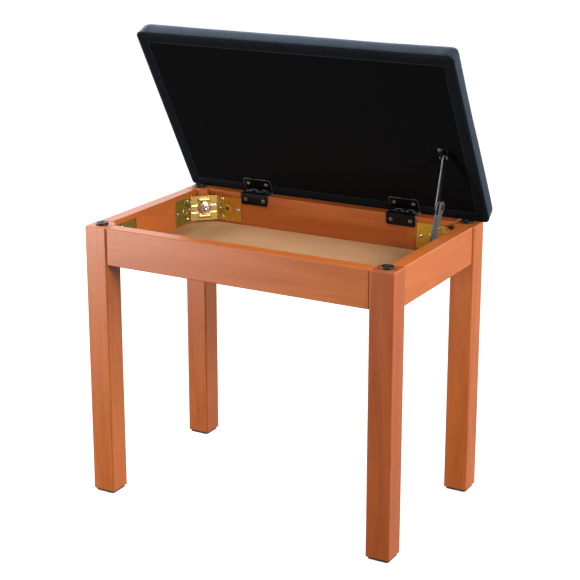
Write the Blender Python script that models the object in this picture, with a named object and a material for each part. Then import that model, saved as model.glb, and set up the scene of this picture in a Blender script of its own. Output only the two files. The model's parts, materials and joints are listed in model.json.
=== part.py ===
"""Piano bench with a storage box under a padded, lift-up lid.

+X is the bench's right end, -Y its front and +Z up; all sizes are in metres.  The floor
is z = 0.  The bench is modelled with its lid propped open on the folding stay.
"""
import bmesh
import bpy
from math import acos, atan2, cos, hypot, pi, radians, sin, sqrt
from mathutils import Matrix, Vector

# ---------------------------------------------------------------- driving dimensions
GAP = 0.0003                 # left between pieces that touch

FRAME_W = 0.536              # outside of the legs, left to right
FRAME_D = 0.327              # outside of the legs, front to back
FRAME_TOP = 0.450            # top of the legs and aprons above the floor
LEG = 0.039                  # side of a square leg
LEG_ROUND = 0.0022           # rounding of a leg's long edges
LEG_FLAT_SUM = 0.018         # how far the flat for the bolt lies from the apron corner
FOOT_PAD = 0.034             # side of a foot pad
FOOT_PAD_T = 0.0027

APRON_H = 0.0605
APRON_T = 0.023
APRON_SETBACK = 0.002        # outer face behind the legs' outer face
APRON_ROUND = 0.0015
APRON_INSET = APRON_SETBACK + APRON_T

PANEL_T = 0.0035             # bottom panel of the storage box
PANEL_TOP = FRAME_TOP - 0.0555
PANEL_IN_GROOVE = 0.005
GROOVE_DEPTH = 0.006

BRACKET_H = 0.043            # zinc corner brackets
BRACKET_T = 0.0018
BRACKET_TOP = FRAME_TOP - 0.0093
BRACKET_CORNER = 0.0315      # where the diagonal meets an apron, from the apron corner
BRACKET_WING_END = 0.0795
BRACKET_RECESS = 0.0025      # depth of the pocket routed for a wing
POCKET_END = 0.081
POCKET_TOP = FRAME_TOP - 0.0085
POCKET_BOTTOM = FRAME_TOP - 0.0535
EYELET_AT = 0.0515           # large flared hole in each wing
EYELET_R = 0.0036

BOLT_R = 0.0038
BOLT_Z = BRACKET_TOP - BRACKET_H / 2
BOLT_IN_LEG = 0.018          # wood thread beyond the apron corner
BOLT_END = 0.0350
NUT_FLANGE_R = 0.0085
NUT_FLANGE_T = 0.0016
NUT_ACROSS = 0.0130
NUT_T = 0.0068

BUMPER_R = 0.0102
BUMPER_H = 0.0049

HINGE_X = 0.136              # middle of each hinge, left and right of centre
HINGE_W = 0.052
HINGE_T = 0.0012
KNUCKLE_R = 0.00225
KNUCKLE_BORE = 0.00150
HINGE_PIN_R = 0.00120
HINGE_AXIS_BACK = 0.009      # axis in front of the frame's rear face
HINGE_AXIS_UP = 0.0026       # axis above the frame's top
HINGE_DROP = 0.0180          # leg of the box leaf on the apron's inner face
HINGE_LID_LEAF = 0.0264
HINGE_SCREW_X = 0.0170
HINGE_LID_SCREW = 0.0162
HINGE_BOX_SCREW_DOWN = 0.0090

LID_OPEN = radians(60.0)
LID_W = 0.546
LID_FRONT = 0.321            # front edge of the lid from the hinge axis
LID_REAR = 0.004             # lid behind the hinge axis
LID_CORNER = 0.010           # plan radius of the lid's corners
LID_UNDERSIDE = 0.0026       # underside above the hinge axis when closed
COVER_T = 0.0008             # fabric hem and dust cover
HEM_W = 0.0165
BOARD_T = 0.012
BOARD_MARGIN = 0.003         # cushion stands out round the board
CUSHION_H = 0.036            # whole height of the padded lid
CUSHION_ROUND = 0.021

STAY_X = 0.2341              # inner face of the lower arm's layer
ARM_T = 0.0025               # upper arm, a flat bar
CHANNEL_W = 0.0063           # lower arm, a channel that opens to the rear
CHANNEL_T = 0.0015
ARM_LAYER_GAP = 0.0004
PIVOT_R = 0.0020
PIVOT_HOLE = 0.0023
RIVET_HEAD_R = 0.0042
STAY_LID_FORWARD = 0.1330    # lid pivot in front of the hinge axis, lid closed
STAY_LID_BELOW = 0.0066      # lid pivot below the hinge axis, lid closed
STAY_ELBOW = (0.0774, 0.4874)     # y, z of the elbow with the lid open
STAY_BOX = (0.0410, 0.4093)       # y, z of the pivot on the box

SCREW_HEAD_R = 0.0034
SCREW_HEAD_H = 0.0018
SCREW_SHANK_R = 0.0016
SCREW_LENGTH = 0.0105
SCREW_HOLE = SCREW_SHANK_R + GAP

ROUND_SEGMENTS = 24
SMALL_SEGMENTS = 12

# ---------------------------------------------------------------- derived places
INNER_X = FRAME_W / 2 - APRON_INSET
INNER_Y = FRAME_D / 2 - APRON_INSET
AXIS_Y = FRAME_D / 2 - HINGE_AXIS_BACK
AXIS_Z = FRAME_TOP + HINGE_AXIS_UP
CORNERS = {                  # name: (side in x, side in y, turn of the corner about z)
    "rear_right": (1, 1, 0.0),
    "rear_left": (-1, 1, pi / 2),
    "front_left": (-1, -1, pi),
    "front_right": (1, -1, 3 * pi / 2),
}
DEPTH_OPEN = 0.3446          # the whole bench front to back, lid open
FRAME_SHIFT = (FRAME_D - DEPTH_OPEN) / 2     # the open lid reaches behind the frame


# ---------------------------------------------------------------- scene and materials
def clear_scene():
    """Remove whatever the file opened with."""
    for obj in list(bpy.data.objects):
        bpy.data.objects.remove(obj, do_unlink=True)


def material(name, colour, roughness, metallic=0.0):
    mat = bpy.data.materials.new(name)
    mat.use_nodes = True
    shader = mat.node_tree.nodes["Principled BSDF"]
    shader.inputs["Base Color"].default_value = (*colour, 1.0)
    shader.inputs["Roughness"].default_value = roughness
    shader.inputs["Metallic"].default_value = metallic
    mat.diffuse_color = (*colour, 1.0)
    return mat


def empty(name, location, parent=None, rotation=(0.0, 0.0, 0.0)):
    obj = bpy.data.objects.new(name, None)
    obj.location = location
    obj.rotation_euler = rotation
    obj.parent = parent
    bpy.context.scene.collection.objects.link(obj)
    return obj


# ---------------------------------------------------------------- mesh helpers
def raw(bm, name="piece"):
    """Turn a bmesh into an object, faces pointing out."""
    bmesh.ops.recalc_face_normals(bm, faces=bm.faces)
    mesh = bpy.data.meshes.new(name)
    bm.to_mesh(mesh)
    bm.free()
    obj = bpy.data.objects.new(name, mesh)
    bpy.context.scene.collection.objects.link(obj)
    return obj


def finish(obj, name, mat, parent, location=(0.0, 0.0, 0.0), smooth=None):
    """Name a piece, give it its material and put it under its parent."""
    obj.name = name
    obj.data.name = name
    obj.data.materials.clear()
    obj.data.materials.append(mat)
    obj.parent = parent
    obj.location = location
    if smooth is not None:
        obj.data.shade_smooth()
        obj.data.set_sharp_from_angle(angle=smooth)
    return obj


def combine(target, tool, operation):
    """Cut or fuse a tool into a target, then remove the tool."""
    bpy.context.view_layer.update()
    modifier = target.modifiers.new("combine", "BOOLEAN")
    modifier.operation = operation
    modifier.solver = "EXACT"
    modifier.object = tool
    graph = bpy.context.evaluated_depsgraph_get()
    mesh = bpy.data.meshes.new_from_object(target.evaluated_get(graph))
    target.modifiers.remove(modifier)
    target.data = mesh
    bpy.data.objects.remove(tool, do_unlink=True)
    return target


def cut(target, *tools):
    for tool in tools:
        combine(target, tool, "DIFFERENCE")
    return target


def fuse(target, *tools):
    for tool in tools:
        combine(target, tool, "UNION")
    return target


def box(low, high, rounding=0.0, segments=2):
    """A box between two corners, with all its edges rounded."""
    bm = bmesh.new()
    bmesh.ops.create_cube(bm, size=1.0)
    low, high = Vector(low), Vector(high)
    for vert in bm.verts:
        share = vert.co + Vector((0.5, 0.5, 0.5))
        vert.co = low + Vector(a * b for a, b in zip(share, high - low))
    if rounding:
        bmesh.ops.bevel(bm, geom=list(bm.edges), offset=rounding, segments=segments,
                        profile=0.5, affect="EDGES")
    return raw(bm)


def prism(outline, start, end, along="z"):
    """Extrude a closed outline of (a, b) points between two places on an axis.

    Along x the outline is (y, z), along y it is (x, z) and along z it is (x, y).
    """
    place = {
        "x": lambda a, b, t: (t, a, b),
        "y": lambda a, b, t: (a, t, b),
        "z": lambda a, b, t: (a, b, t),
    }[along]
    bm = bmesh.new()
    first = [bm.verts.new(place(a, b, start)) for a, b in outline]
    last = [bm.verts.new(place(a, b, end)) for a, b in outline]
    bm.faces.new(first)
    bm.faces.new(last)
    count = len(outline)
    for i in range(count):
        j = (i + 1) % count
        bm.faces.new((first[i], first[j], last[j], last[i]))
    return raw(bm)


def circle(radius, count, centre=(0.0, 0.0), start=0.0):
    return [(centre[0] + radius * cos(start + 2 * pi * i / count),
             centre[1] + radius * sin(start + 2 * pi * i / count)) for i in range(count)]


def arc(centre, radius, first, last, steps):
    """Points on an arc between two angles, both ends included."""
    angles = [first + (last - first) * i / steps for i in range(steps + 1)]
    return [(centre[0] + radius * cos(a), centre[1] + radius * sin(a)) for a in angles]


def rod(radius, start, end, along="z", centre=(0.0, 0.0), count=SMALL_SEGMENTS):
    return prism(circle(radius, count, centre), start, end, along)


def loft(rings, closed=False):
    """Skin rings of equally many points; a closed skin joins the last ring to the first."""
    bm = bmesh.new()
    loops = [[bm.verts.new(point) for point in ring] for ring in rings]
    pairs = list(zip(loops, loops[1:]))
    if closed:
        pairs.append((loops[-1], loops[0]))
    else:
        bm.faces.new(loops[0])
        bm.faces.new(loops[-1])
    for lower, upper in pairs:
        count = len(lower)
        for i in range(count):
            j = (i + 1) % count
            bm.faces.new((lower[i], lower[j], upper[j], upper[i]))
    return raw(bm)


def turned(profile, count=ROUND_SEGMENTS):
    """A solid turned about z from (radius, height) points, flat at both ends."""
    return loft([[(x, y, height) for x, y in circle(radius, count)]
                 for radius, height in profile])


def rounded_rectangle(half_x, half_y, radius, steps=4, centre_y=0.0):
    """Outline of a rectangle with round corners, anticlockwise."""
    points = []
    for sx, sy, first in ((1, 1, 0.0), (-1, 1, pi / 2), (-1, -1, pi), (1, -1, 1.5 * pi)):
        centre = (sx * (half_x - radius), centre_y + sy * (half_y - radius))
        points += arc(centre, radius, first, first + pi / 2, steps)
    return points


def aimed(obj, place, direction):
    """Bake a turn of +Z to a direction, and a place, into a piece's mesh."""
    turn = Vector((0.0, 0.0, 1.0)).rotation_difference(Vector(direction))
    obj.data.transform(Matrix.Translation(place) @ turn.to_matrix().to_4x4())
    return obj


# ---------------------------------------------------------------- fasteners
def screw(name, mat, parent, place, direction):
    """Pan-head wood screw; its head faces along the direction, its seat is at place."""
    body = turned([
        (SCREW_SHANK_R * 0.45, -SCREW_LENGTH),
        (SCREW_SHANK_R, -SCREW_LENGTH + 0.003),
        (SCREW_SHANK_R, 0.0),
        (SCREW_HEAD_R, 0.0),
        (SCREW_HEAD_R, SCREW_HEAD_H * 0.45),
        (SCREW_HEAD_R * 0.66, SCREW_HEAD_H),
    ], SMALL_SEGMENTS)
    aimed(body, place, direction)
    return finish(body, name, mat, parent, smooth=radians(35))


def screw_hole(place, direction, radius=SCREW_HOLE, depth=SCREW_LENGTH + 0.001):
    """Cutter for a screw's shank below its seat, reaching a little above it."""
    hole = rod(radius, -depth, 0.002)
    return aimed(hole, place, direction)


# ---------------------------------------------------------------- the four corners
def leg(name, mat, parent):
    outer = APRON_INSET
    inner = APRON_INSET - LEG
    body = box((inner, inner, FOOT_PAD_T + GAP), (outer, outer, FRAME_TOP), LEG_ROUND, 3)
    reach = LEG_FLAT_SUM / sqrt(2)
    flat = box((-0.02, -0.02, 0.0), (0.02, 0.02, 0.04))
    flat.data.transform(Matrix.Translation((0.0, 0.0, FRAME_TOP - APRON_H))
                        @ Matrix.Rotation(pi / 4, 4, "Z")
                        @ Matrix.Translation((-reach - 0.02, 0.0, 0.0)))
    stretch = Matrix.Diagonal((1.0, 1.0, (APRON_H + 0.002) / 0.04, 1.0))
    lift = Matrix.Translation((0.0, 0.0, FRAME_TOP - APRON_H))
    flat.data.transform(lift @ stretch @ lift.inverted())
    hole = rod(BOLT_R + GAP, -BOLT_IN_LEG - 0.001, BOLT_END, count=ROUND_SEGMENTS // 2)
    aimed(hole, (0.0, 0.0, BOLT_Z), (-1.0, -1.0, 0.0))
    cut(body, flat, hole)
    return finish(body, name, mat, parent)


def foot_pad(name, mat, parent):
    middle = APRON_INSET - LEG / 2
    outline = [(middle + x, middle + y) for x, y in
               rounded_rectangle(FOOT_PAD / 2, FOOT_PAD / 2, 0.003, 2)]
    return finish(prism(outline, 0.0, FOOT_PAD_T), name, mat, parent)


def bumper(name, mat, parent):
    middle = APRON_INSET - LEG / 2
    body = turned([
        (BUMPER_R, GAP),
        (BUMPER_R, BUMPER_H * 0.45),
        (BUMPER_R * 0.93, BUMPER_H * 0.82),
        (BUMPER_R * 0.78, BUMPER_H),
    ], ROUND_SEGMENTS)
    return finish(body, name, mat, parent, (middle, middle, FRAME_TOP), radians(40))


def corner_bracket(name, mat, parent):
    """Bent strip: a wing in each apron's pocket and a diagonal across the corner."""
    back = BRACKET_RECESS - GAP              # face towards the pocket's floor
    front = back - BRACKET_T
    mitre = BRACKET_T * (sqrt(2) - 1)
    end = BRACKET_WING_END
    bend_back = BRACKET_CORNER
    bend_front = BRACKET_CORNER + mitre
    outline = [
        (back, -end), (back, -bend_back), (-bend_back, back), (-end, back),
        (-end, front), (-bend_front, front), (front, -bend_front), (front, -end),
    ]
    body = prism(outline, BRACKET_TOP - BRACKET_H, BRACKET_TOP)
    bolt_hole = rod(BOLT_R + GAP, 0.0, BOLT_END, count=SMALL_SEGMENTS)
    aimed(bolt_hole, (0.0, 0.0, BOLT_Z), (-1.0, -1.0, 0.0))
    cut(body, bolt_hole)
    cut(body, rod(EYELET_R, -0.01, 0.01, "x", (-EYELET_AT, BOLT_Z)))
    cut(body, rod(EYELET_R, -0.01, 0.01, "y", (-EYELET_AT, BOLT_Z)))
    return finish(body, name, mat, parent, smooth=radians(30))


def hanger_bolt(name, mat, parent):
    body = turned([
        (BOLT_R * 0.5, -BOLT_IN_LEG),
        (BOLT_R, -BOLT_IN_LEG + 0.004),
        (BOLT_R, BOLT_END - 0.001),
        (BOLT_R * 0.8, BOLT_END),
    ], SMALL_SEGMENTS)
    aimed(body, (0.0, 0.0, BOLT_Z), (-1.0, -1.0, 0.0))
    return finish(body, name, mat, parent, smooth=radians(35))


def bracket_face():
    """How far the bracket's diagonal face stands from the apron corner."""
    back_sum = BRACKET_CORNER - (BRACKET_RECESS - GAP)
    return back_sum / sqrt(2) + BRACKET_T


def flange_nut(name, mat, parent):
    """Hexagon nut with a washer face, on the hanger bolt."""
    count = ROUND_SEGMENTS
    seat = bracket_face() + GAP
    per_side = pi / 3

    def hexagon(across):
        ring = []
        for i in range(count):
            angle = 2 * pi * i / count
            off = (angle + per_side / 2) % per_side - per_side / 2
            radius = across / 2 / cos(off)
            ring.append((radius * cos(angle), radius * sin(angle)))
        return ring

    def level(points, height):
        return [(x, y, height) for x, y in points]

    bore = circle(BOLT_R + GAP, count)
    flange = circle(NUT_FLANGE_R, count)
    top = seat + NUT_T
    body = loft([
        level(bore, seat), level(flange, seat), level(flange, seat + NUT_FLANGE_T * 0.6),
        level(hexagon(NUT_ACROSS), seat + NUT_FLANGE_T),
        level(hexagon(NUT_ACROSS), top - 0.0008), level(circle(NUT_ACROSS / 2.1, count), top),
        level(bore, top),
    ], closed=True)
    aimed(body, (0.0, 0.0, BOLT_Z), (-1.0, -1.0, 0.0))
    return finish(body, name, mat, parent, smooth=radians(25))


def corner(name, parent, mats):
    """One leg with its pad, bumper, bracket, bolt and nut."""
    side_x, side_y, turn = CORNERS[name]
    at = empty("corner_" + name, (side_x * INNER_X, side_y * INNER_Y, 0.0), parent,
               (0.0, 0.0, turn))
    leg("leg_" + name, mats["wood"], at)
    foot_pad("foot_pad_" + name, mats["foot"], at)
    bumper("lid_bumper_" + name, mats["bumper"], at)
    corner_bracket("corner_bracket_" + name, mats["zinc"], at)
    hanger_bolt("hanger_bolt_" + name, mats["bolt"], at)
    flange_nut("bolt_nut_" + name, mats["bolt"], at)


# ---------------------------------------------------------------- the storage box
def apron(length):
    """An apron along x at the rear, outer face to +Y, inner face on y = 0."""
    half = length / 2
    top = FRAME_TOP
    body = box((-half, 0.0, top - APRON_H), (half, APRON_T, top), APRON_ROUND)
    groove = box((-half - 0.01, -0.01, PANEL_TOP - PANEL_T - GAP),
                 (half + 0.01, GROOVE_DEPTH, PANEL_TOP + GAP))
    cut(body, groove)
    corner_at = half + LEG + GAP - APRON_INSET
    for side in (-1, 1):
        near = side * (corner_at - POCKET_END)
        far = side * (corner_at + 0.01)
        low, high = min(near, far), max(near, far)
        cut(body, box((low, -0.01, POCKET_BOTTOM), (high, BRACKET_RECESS, POCKET_TOP)))
    return body


def aprons(parent, mats):
    """The four aprons; the front and rear ones are long, the end ones short."""
    long_length = FRAME_W - 2 * LEG - 2 * GAP
    short_length = FRAME_D - 2 * LEG - 2 * GAP
    rear = apron(long_length)
    for hinge_side in (-1, 1):
        for screw_side in (-1, 1):
            x = hinge_side * HINGE_X + screw_side * HINGE_SCREW_X
            cut(rear, screw_hole((x, -HINGE_T - 2 * GAP, FRAME_TOP - HINGE_BOX_SCREW_DOWN),
                                 (0.0, -1.0, 0.0)))
    finish(rear, "apron_rear", mats["wood"], parent, (0.0, INNER_Y, 0.0))

    front = apron(long_length)
    finish(front, "apron_front", mats["wood"], parent, (0.0, -INNER_Y, 0.0))
    front.rotation_euler = (0.0, 0.0, pi)

    left = apron(short_length)
    finish(left, "apron_left", mats["wood"], parent, (-INNER_X, 0.0, 0.0))
    left.rotation_euler = (0.0, 0.0, pi / 2)

    right = apron(short_length)
    for y, z in stay_box_screws():
        cut(right, screw_hole((-y, -HINGE_T - 2 * GAP, z), (0.0, -1.0, 0.0)))
    finish(right, "apron_right", mats["wood"], parent, (INNER_X, 0.0, 0.0))
    right.rotation_euler = (0.0, 0.0, -pi / 2)


def bottom_panel(parent, mats):
    """Thin board in the aprons' grooves, notched round the legs."""
    x = INNER_X + PANEL_IN_GROOVE
    y = INNER_Y + PANEL_IN_GROOVE
    notch_x = FRAME_W / 2 - LEG - GAP
    notch_y = FRAME_D / 2 - LEG - GAP
    outline = []
    for sx, sy in ((1, 1), (-1, 1), (-1, -1), (1, -1)):
        points = [(sx * x, sy * notch_y), (sx * notch_x, sy * notch_y), (sx * notch_x, sy * y)]
        outline += points if sx * sy > 0 else points[::-1]
    body = prism(outline, PANEL_TOP - PANEL_T, PANEL_TOP)
    finish(body, "bottom_panel", mats["panel"], parent)


# ---------------------------------------------------------------- hinges
KNUCKLES = 5


def knuckle_span(index):
    """Ends in x of one of a hinge's knuckles, from the hinge's middle."""
    pitch = HINGE_W / KNUCKLES
    return (-HINGE_W / 2 + index * pitch + GAP / 2, -HINGE_W / 2 + (index + 1) * pitch - GAP / 2)


def knuckle(index, plate_low, plate_high, side):
    """A knuckle about the axis with a tongue that joins it to its leaf's plate."""
    start, end = knuckle_span(index)
    ring = circle(KNUCKLE_R, ROUND_SEGMENTS // 2)
    bore = circle(KNUCKLE_BORE, ROUND_SEGMENTS // 2)
    body = loft([
        [(start, y, z) for y, z in ring], [(end, y, z) for y, z in ring],
        [(end, y, z) for y, z in bore], [(start, y, z) for y, z in bore],
    ], closed=True)
    near = side * (KNUCKLE_BORE + 0.0002)
    far = side * (KNUCKLE_R + 0.0012)
    tongue = box((start, min(near, far), plate_low), (end, max(near, far), plate_high))
    return fuse(body, tongue)


def hinge_box_leaf(name, mat, parent):
    """L-shaped leaf: over the rear apron's top and down its inner face."""
    low = -HINGE_AXIS_UP + GAP + 0.00005
    high = low + HINGE_T
    inner = INNER_Y - AXIS_Y - GAP           # the apron's inner face, less the gap
    half = HINGE_W / 2
    body = box((-half, inner - HINGE_T, low), (half, -KNUCKLE_R - GAP, high))
    bottom = -HINGE_AXIS_UP - HINGE_DROP
    round_r = 0.004
    outline = ([(half, high), (-half, high)]
               + arc((-half + round_r, bottom + round_r), round_r, pi, 1.5 * pi, 3)
               + arc((half - round_r, bottom + round_r), round_r, 1.5 * pi, 2 * pi, 3))
    fuse(body, prism(outline, inner - HINGE_T, inner, "y"))
    for index in range(0, KNUCKLES, 2):
        fuse(body, knuckle(index, low, high, -1))
    seat_y = inner - HINGE_T - GAP
    for side in (-1, 1):
        place = (side * HINGE_SCREW_X, seat_y, -HINGE_AXIS_UP - HINGE_BOX_SCREW_DOWN)
        cut(body, screw_hole(place, (0.0, -1.0, 0.0)))
        screw(name.replace("hinge_box_leaf", "hinge_box_screw") + ("_a" if side < 0 else "_b"),
              mat, parent, place, (0.0, -1.0, 0.0))
    return finish(body, name, mat, parent, smooth=radians(35))


def hinge_lid_leaf(name, mat, parent):
    """Flat leaf under the lid, closed position, origin on the axis."""
    high = LID_UNDERSIDE - GAP - 0.00005
    low = high - HINGE_T
    half = HINGE_W / 2
    round_r = 0.004
    front = -HINGE_LID_LEAF
    back = -KNUCKLE_R - GAP
    outline = ([(half, back), (-half, back)]
               + arc((-half + round_r, front + round_r), round_r, pi, 1.5 * pi, 3)
               + arc((half - round_r, front + round_r), round_r, 1.5 * pi, 2 * pi, 3))
    body = prism(outline, low, high)
    for index in range(1, KNUCKLES, 2):
        fuse(body, knuckle(index, low, high, -1))
    for side in (-1, 1):
        place = (side * HINGE_SCREW_X, -HINGE_LID_SCREW, low - GAP)
        cut(body, screw_hole(place, (0.0, 0.0, -1.0)))
        screw(name.replace("hinge_lid_leaf", "hinge_lid_screw") + ("_a" if side < 0 else "_b"),
              mat, parent, place, (0.0, 0.0, -1.0))
    return finish(body, name, mat, parent, smooth=radians(35))


def hinges(frame, lid_axis, mats):
    for label, side in (("left", -1), ("right", 1)):
        x = side * HINGE_X
        on_frame = empty("hinge_axis_" + label, (x, AXIS_Y, AXIS_Z), frame)
        hinge_box_leaf("hinge_box_leaf_" + label, mats["black_metal"], on_frame)
        pin = rod(HINGE_PIN_R, -HINGE_W / 2, HINGE_W / 2, "x")
        finish(pin, "hinge_pin_" + label, mats["black_metal"], on_frame, smooth=radians(40))
        on_lid = empty("hinge_lid_side_" + label, (x, 0.0, 0.0), lid_axis)
        hinge_lid_leaf("hinge_lid_leaf_" + label, mats["black_metal"], on_lid)


# ---------------------------------------------------------------- the padded lid
LID_MID_Y = (LID_REAR - LID_FRONT) / 2
LID_HALF_Y = (LID_REAR + LID_FRONT) / 2
BOARD_LOW = LID_UNDERSIDE + COVER_T + 2 * GAP


def lid_screw_places():
    """Screws driven up into the board, as (x, y) in the closed lid."""
    places = [(hinge_side * HINGE_X + side * HINGE_SCREW_X, -HINGE_LID_SCREW)
              for hinge_side in (-1, 1) for side in (-1, 1)]
    return places + stay_lid_screws()


def seat_board(parent, mats):
    """Plywood board that the padding is upholstered on."""
    outline = rounded_rectangle(LID_W / 2 - BOARD_MARGIN, LID_HALF_Y - BOARD_MARGIN,
                                LID_CORNER - BOARD_MARGIN, 3, LID_MID_Y)
    body = prism(outline, BOARD_LOW, BOARD_LOW + BOARD_T)
    for x, y in lid_screw_places():
        cut(body, screw_hole((x, y, LID_UNDERSIDE - HINGE_T - 2 * GAP), (0.0, 0.0, -1.0)))
    finish(body, "seat_board", mats["board"], parent)


def cover_margin(parent, mats):
    """The cover's turned-under hem, a frame of fabric, and the dust cover inside it."""
    steps = 3
    outer = rounded_rectangle(LID_W / 2 - 0.001, LID_HALF_Y - 0.001, LID_CORNER, steps, LID_MID_Y)
    inner = rounded_rectangle(LID_W / 2 - HEM_W, LID_HALF_Y - HEM_W, 0.004, steps, LID_MID_Y)
    low, high = LID_UNDERSIDE, LID_UNDERSIDE + COVER_T
    hem = loft([
        [(x, y, low) for x, y in outer], [(x, y, high) for x, y in outer],
        [(x, y, high) for x, y in inner], [(x, y, low) for x, y in inner],
    ], closed=True)
    panel = prism(rounded_rectangle(LID_W / 2 - HEM_W - GAP, LID_HALF_Y - HEM_W - GAP, 0.004,
                                    steps, LID_MID_Y), low, high)
    for x, y in lid_screw_places():
        place = (x, y, LID_UNDERSIDE - HINGE_T - 2 * GAP)
        inside = y < LID_REAR - HEM_W
        cut(panel if inside else hem, screw_hole(place, (0.0, 0.0, -1.0)))
    finish(hem, "cover_hem", mats["fabric"], parent)
    finish(panel, "dust_cover", mats["dust"], parent)


def seat_cushion(parent, mats):
    """Foam and cover as one cap over the board, with a low crown."""
    steps = 4
    rings = []
    low = BOARD_LOW
    shoulder = LID_UNDERSIDE + CUSHION_H - CUSHION_ROUND
    for height in (low, shoulder):
        rings.append((0.0, height))
    for i in range(1, 6):
        angle = i / 5 * radians(82)
        rings.append((CUSHION_ROUND * (1 - cos(angle)), shoulder + CUSHION_ROUND * sin(angle) * 0.94))
    rings.append((0.075, LID_UNDERSIDE + CUSHION_H - 0.0004))
    rings.append((0.150, LID_UNDERSIDE + CUSHION_H))
    body = loft([[(x, y, height) for x, y in
                  rounded_rectangle(LID_W / 2 - inset, LID_HALF_Y - inset,
                                    LID_CORNER + inset * 0.35, steps, LID_MID_Y)]
                 for inset, height in rings])
    margin = BOARD_MARGIN - GAP
    hollow = prism(rounded_rectangle(LID_W / 2 - margin, LID_HALF_Y - margin,
                                     LID_CORNER - margin, 3, LID_MID_Y),
                   low - 0.01, BOARD_LOW + BOARD_T + GAP)
    cut(body, hollow)
    finish(body, "seat_cushion", mats["fabric"], parent, smooth=radians(50))


# ---------------------------------------------------------------- the folding stay
UPPER_LOW_X = STAY_X - ARM_LAYER_GAP - ARM_T
UPPER_MID_X = UPPER_LOW_X + ARM_T / 2
CLEVIS_HALF = 0.0032         # inner half-width of the lid bracket's fork
CLEVIS_T = 0.0012
LID_PIVOT_R = 0.0055
ELBOW_R = 0.0090
CHANNEL_HALF = 0.0055        # half depth of the channel's flanges


def stay_lid_pivot():
    """y, z of the lid pivot with the lid open."""
    forward, up = -STAY_LID_FORWARD, -STAY_LID_BELOW
    return (AXIS_Y + forward * cos(LID_OPEN) + up * sin(LID_OPEN),
            AXIS_Z - forward * sin(LID_OPEN) + up * cos(LID_OPEN))


def stay_lid_screws():
    """Screws of the lid bracket, as (x, y) in the closed lid."""
    x = UPPER_MID_X - 0.0090
    return [(x, -STAY_LID_FORWARD - 0.0080), (x, -STAY_LID_FORWARD + 0.0080)]


def stay_box_screws():
    """Screws of the box bracket, as (y, z), clear of the lower arm's swing."""
    y, z = STAY_BOX
    return [(y - 0.0020, z - 0.0095), (y + 0.0130, z - 0.0010)]


def tangent_hull(first, first_r, second, second_r, steps=5):
    """Outline of a bar whose round ends have two different radii."""
    dx, dy = second[0] - first[0], second[1] - first[1]
    heading = atan2(dy, dx)
    lean = acos((first_r - second_r) / hypot(dx, dy))
    return (arc(first, first_r, heading + lean, heading + 2 * pi - lean, steps)
            + arc(second, second_r, heading - lean, heading + lean, steps))


def eared_bar(points, radii, origin, low_x, high_x, steps):
    """A flat bar through three points with a round end at each, placed from its pivot."""
    local = [(y - origin[0], z - origin[1]) for y, z in points]
    first = tangent_hull(local[0], radii[0], local[1], radii[1], steps)
    second = tangent_hull(local[1], radii[1], local[2], radii[2], steps)
    body = prism(first, low_x, high_x, "x")
    return fuse(body, prism(second, low_x, high_x, "x"))


def drill_pivots(body, pivots, origin):
    for y, z in pivots:
        cut(body, rod(PIVOT_HOLE, 0.2, 0.3, "x", (y - origin[0], z - origin[1])))
    return body


def rivet(x_low, x_high, low_head, high_head):
    """A pin along x with an optional head at each end; a head is (length, radius)."""
    profile = [(PIVOT_R, x_low), (PIVOT_R, x_high)]
    if low_head:
        profile = [(low_head[1], x_low - low_head[0]), (low_head[1], x_low)] + profile
    if high_head:
        profile += [(high_head[1], x_high), (high_head[1], x_high + high_head[0])]
    return loft([[(x, y, z) for y, z in circle(radius, SMALL_SEGMENTS)]
                 for radius, x in profile])


def stay_lid_bracket(lid_axis, mats):
    """Fork under the lid that holds the upper arm's top end."""
    high = LID_UNDERSIDE - GAP
    low = high - CLEVIS_T
    inner_edge = UPPER_MID_X - 0.0135
    ear_low = UPPER_MID_X - CLEVIS_HALF - CLEVIS_T
    ear_high = UPPER_MID_X + CLEVIS_HALF
    y = -STAY_LID_FORWARD
    body = box((inner_edge, y - 0.0125, low), (ear_high + CLEVIS_T, y + 0.0125, high))
    for x in (ear_low, ear_high):
        outline = ([(y + 0.0075, low + 0.0002), (y - 0.0075, low + 0.0002)]
                   + arc((y, -STAY_LID_BELOW), LID_PIVOT_R, pi + 0.35, 2 * pi - 0.35, 5))
        fuse(body, prism(outline, x, x + CLEVIS_T, "x"))
    cut(body, rod(PIVOT_HOLE, 0.2, 0.3, "x", (y, -STAY_LID_BELOW)))
    for index, (x, screw_y) in enumerate(stay_lid_screws()):
        place = (x, screw_y, low - GAP)
        cut(body, screw_hole(place, (0.0, 0.0, -1.0)))
        screw("stay_lid_screw_" + "ab"[index], mats["black_metal"], lid_axis, place,
              (0.0, 0.0, -1.0))
    finish(body, "stay_lid_bracket", mats["black_metal"], lid_axis, smooth=radians(30))

    pin_at = empty("stay_lid_pivot", (0.0, y, -STAY_LID_BELOW), lid_axis)
    head = (0.0009, 0.0032)
    pin = rivet(ear_low - GAP, ear_high + CLEVIS_T + GAP, head, head)
    finish(pin, "stay_lid_pin", mats["black_metal"], pin_at, smooth=radians(35))


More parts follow.
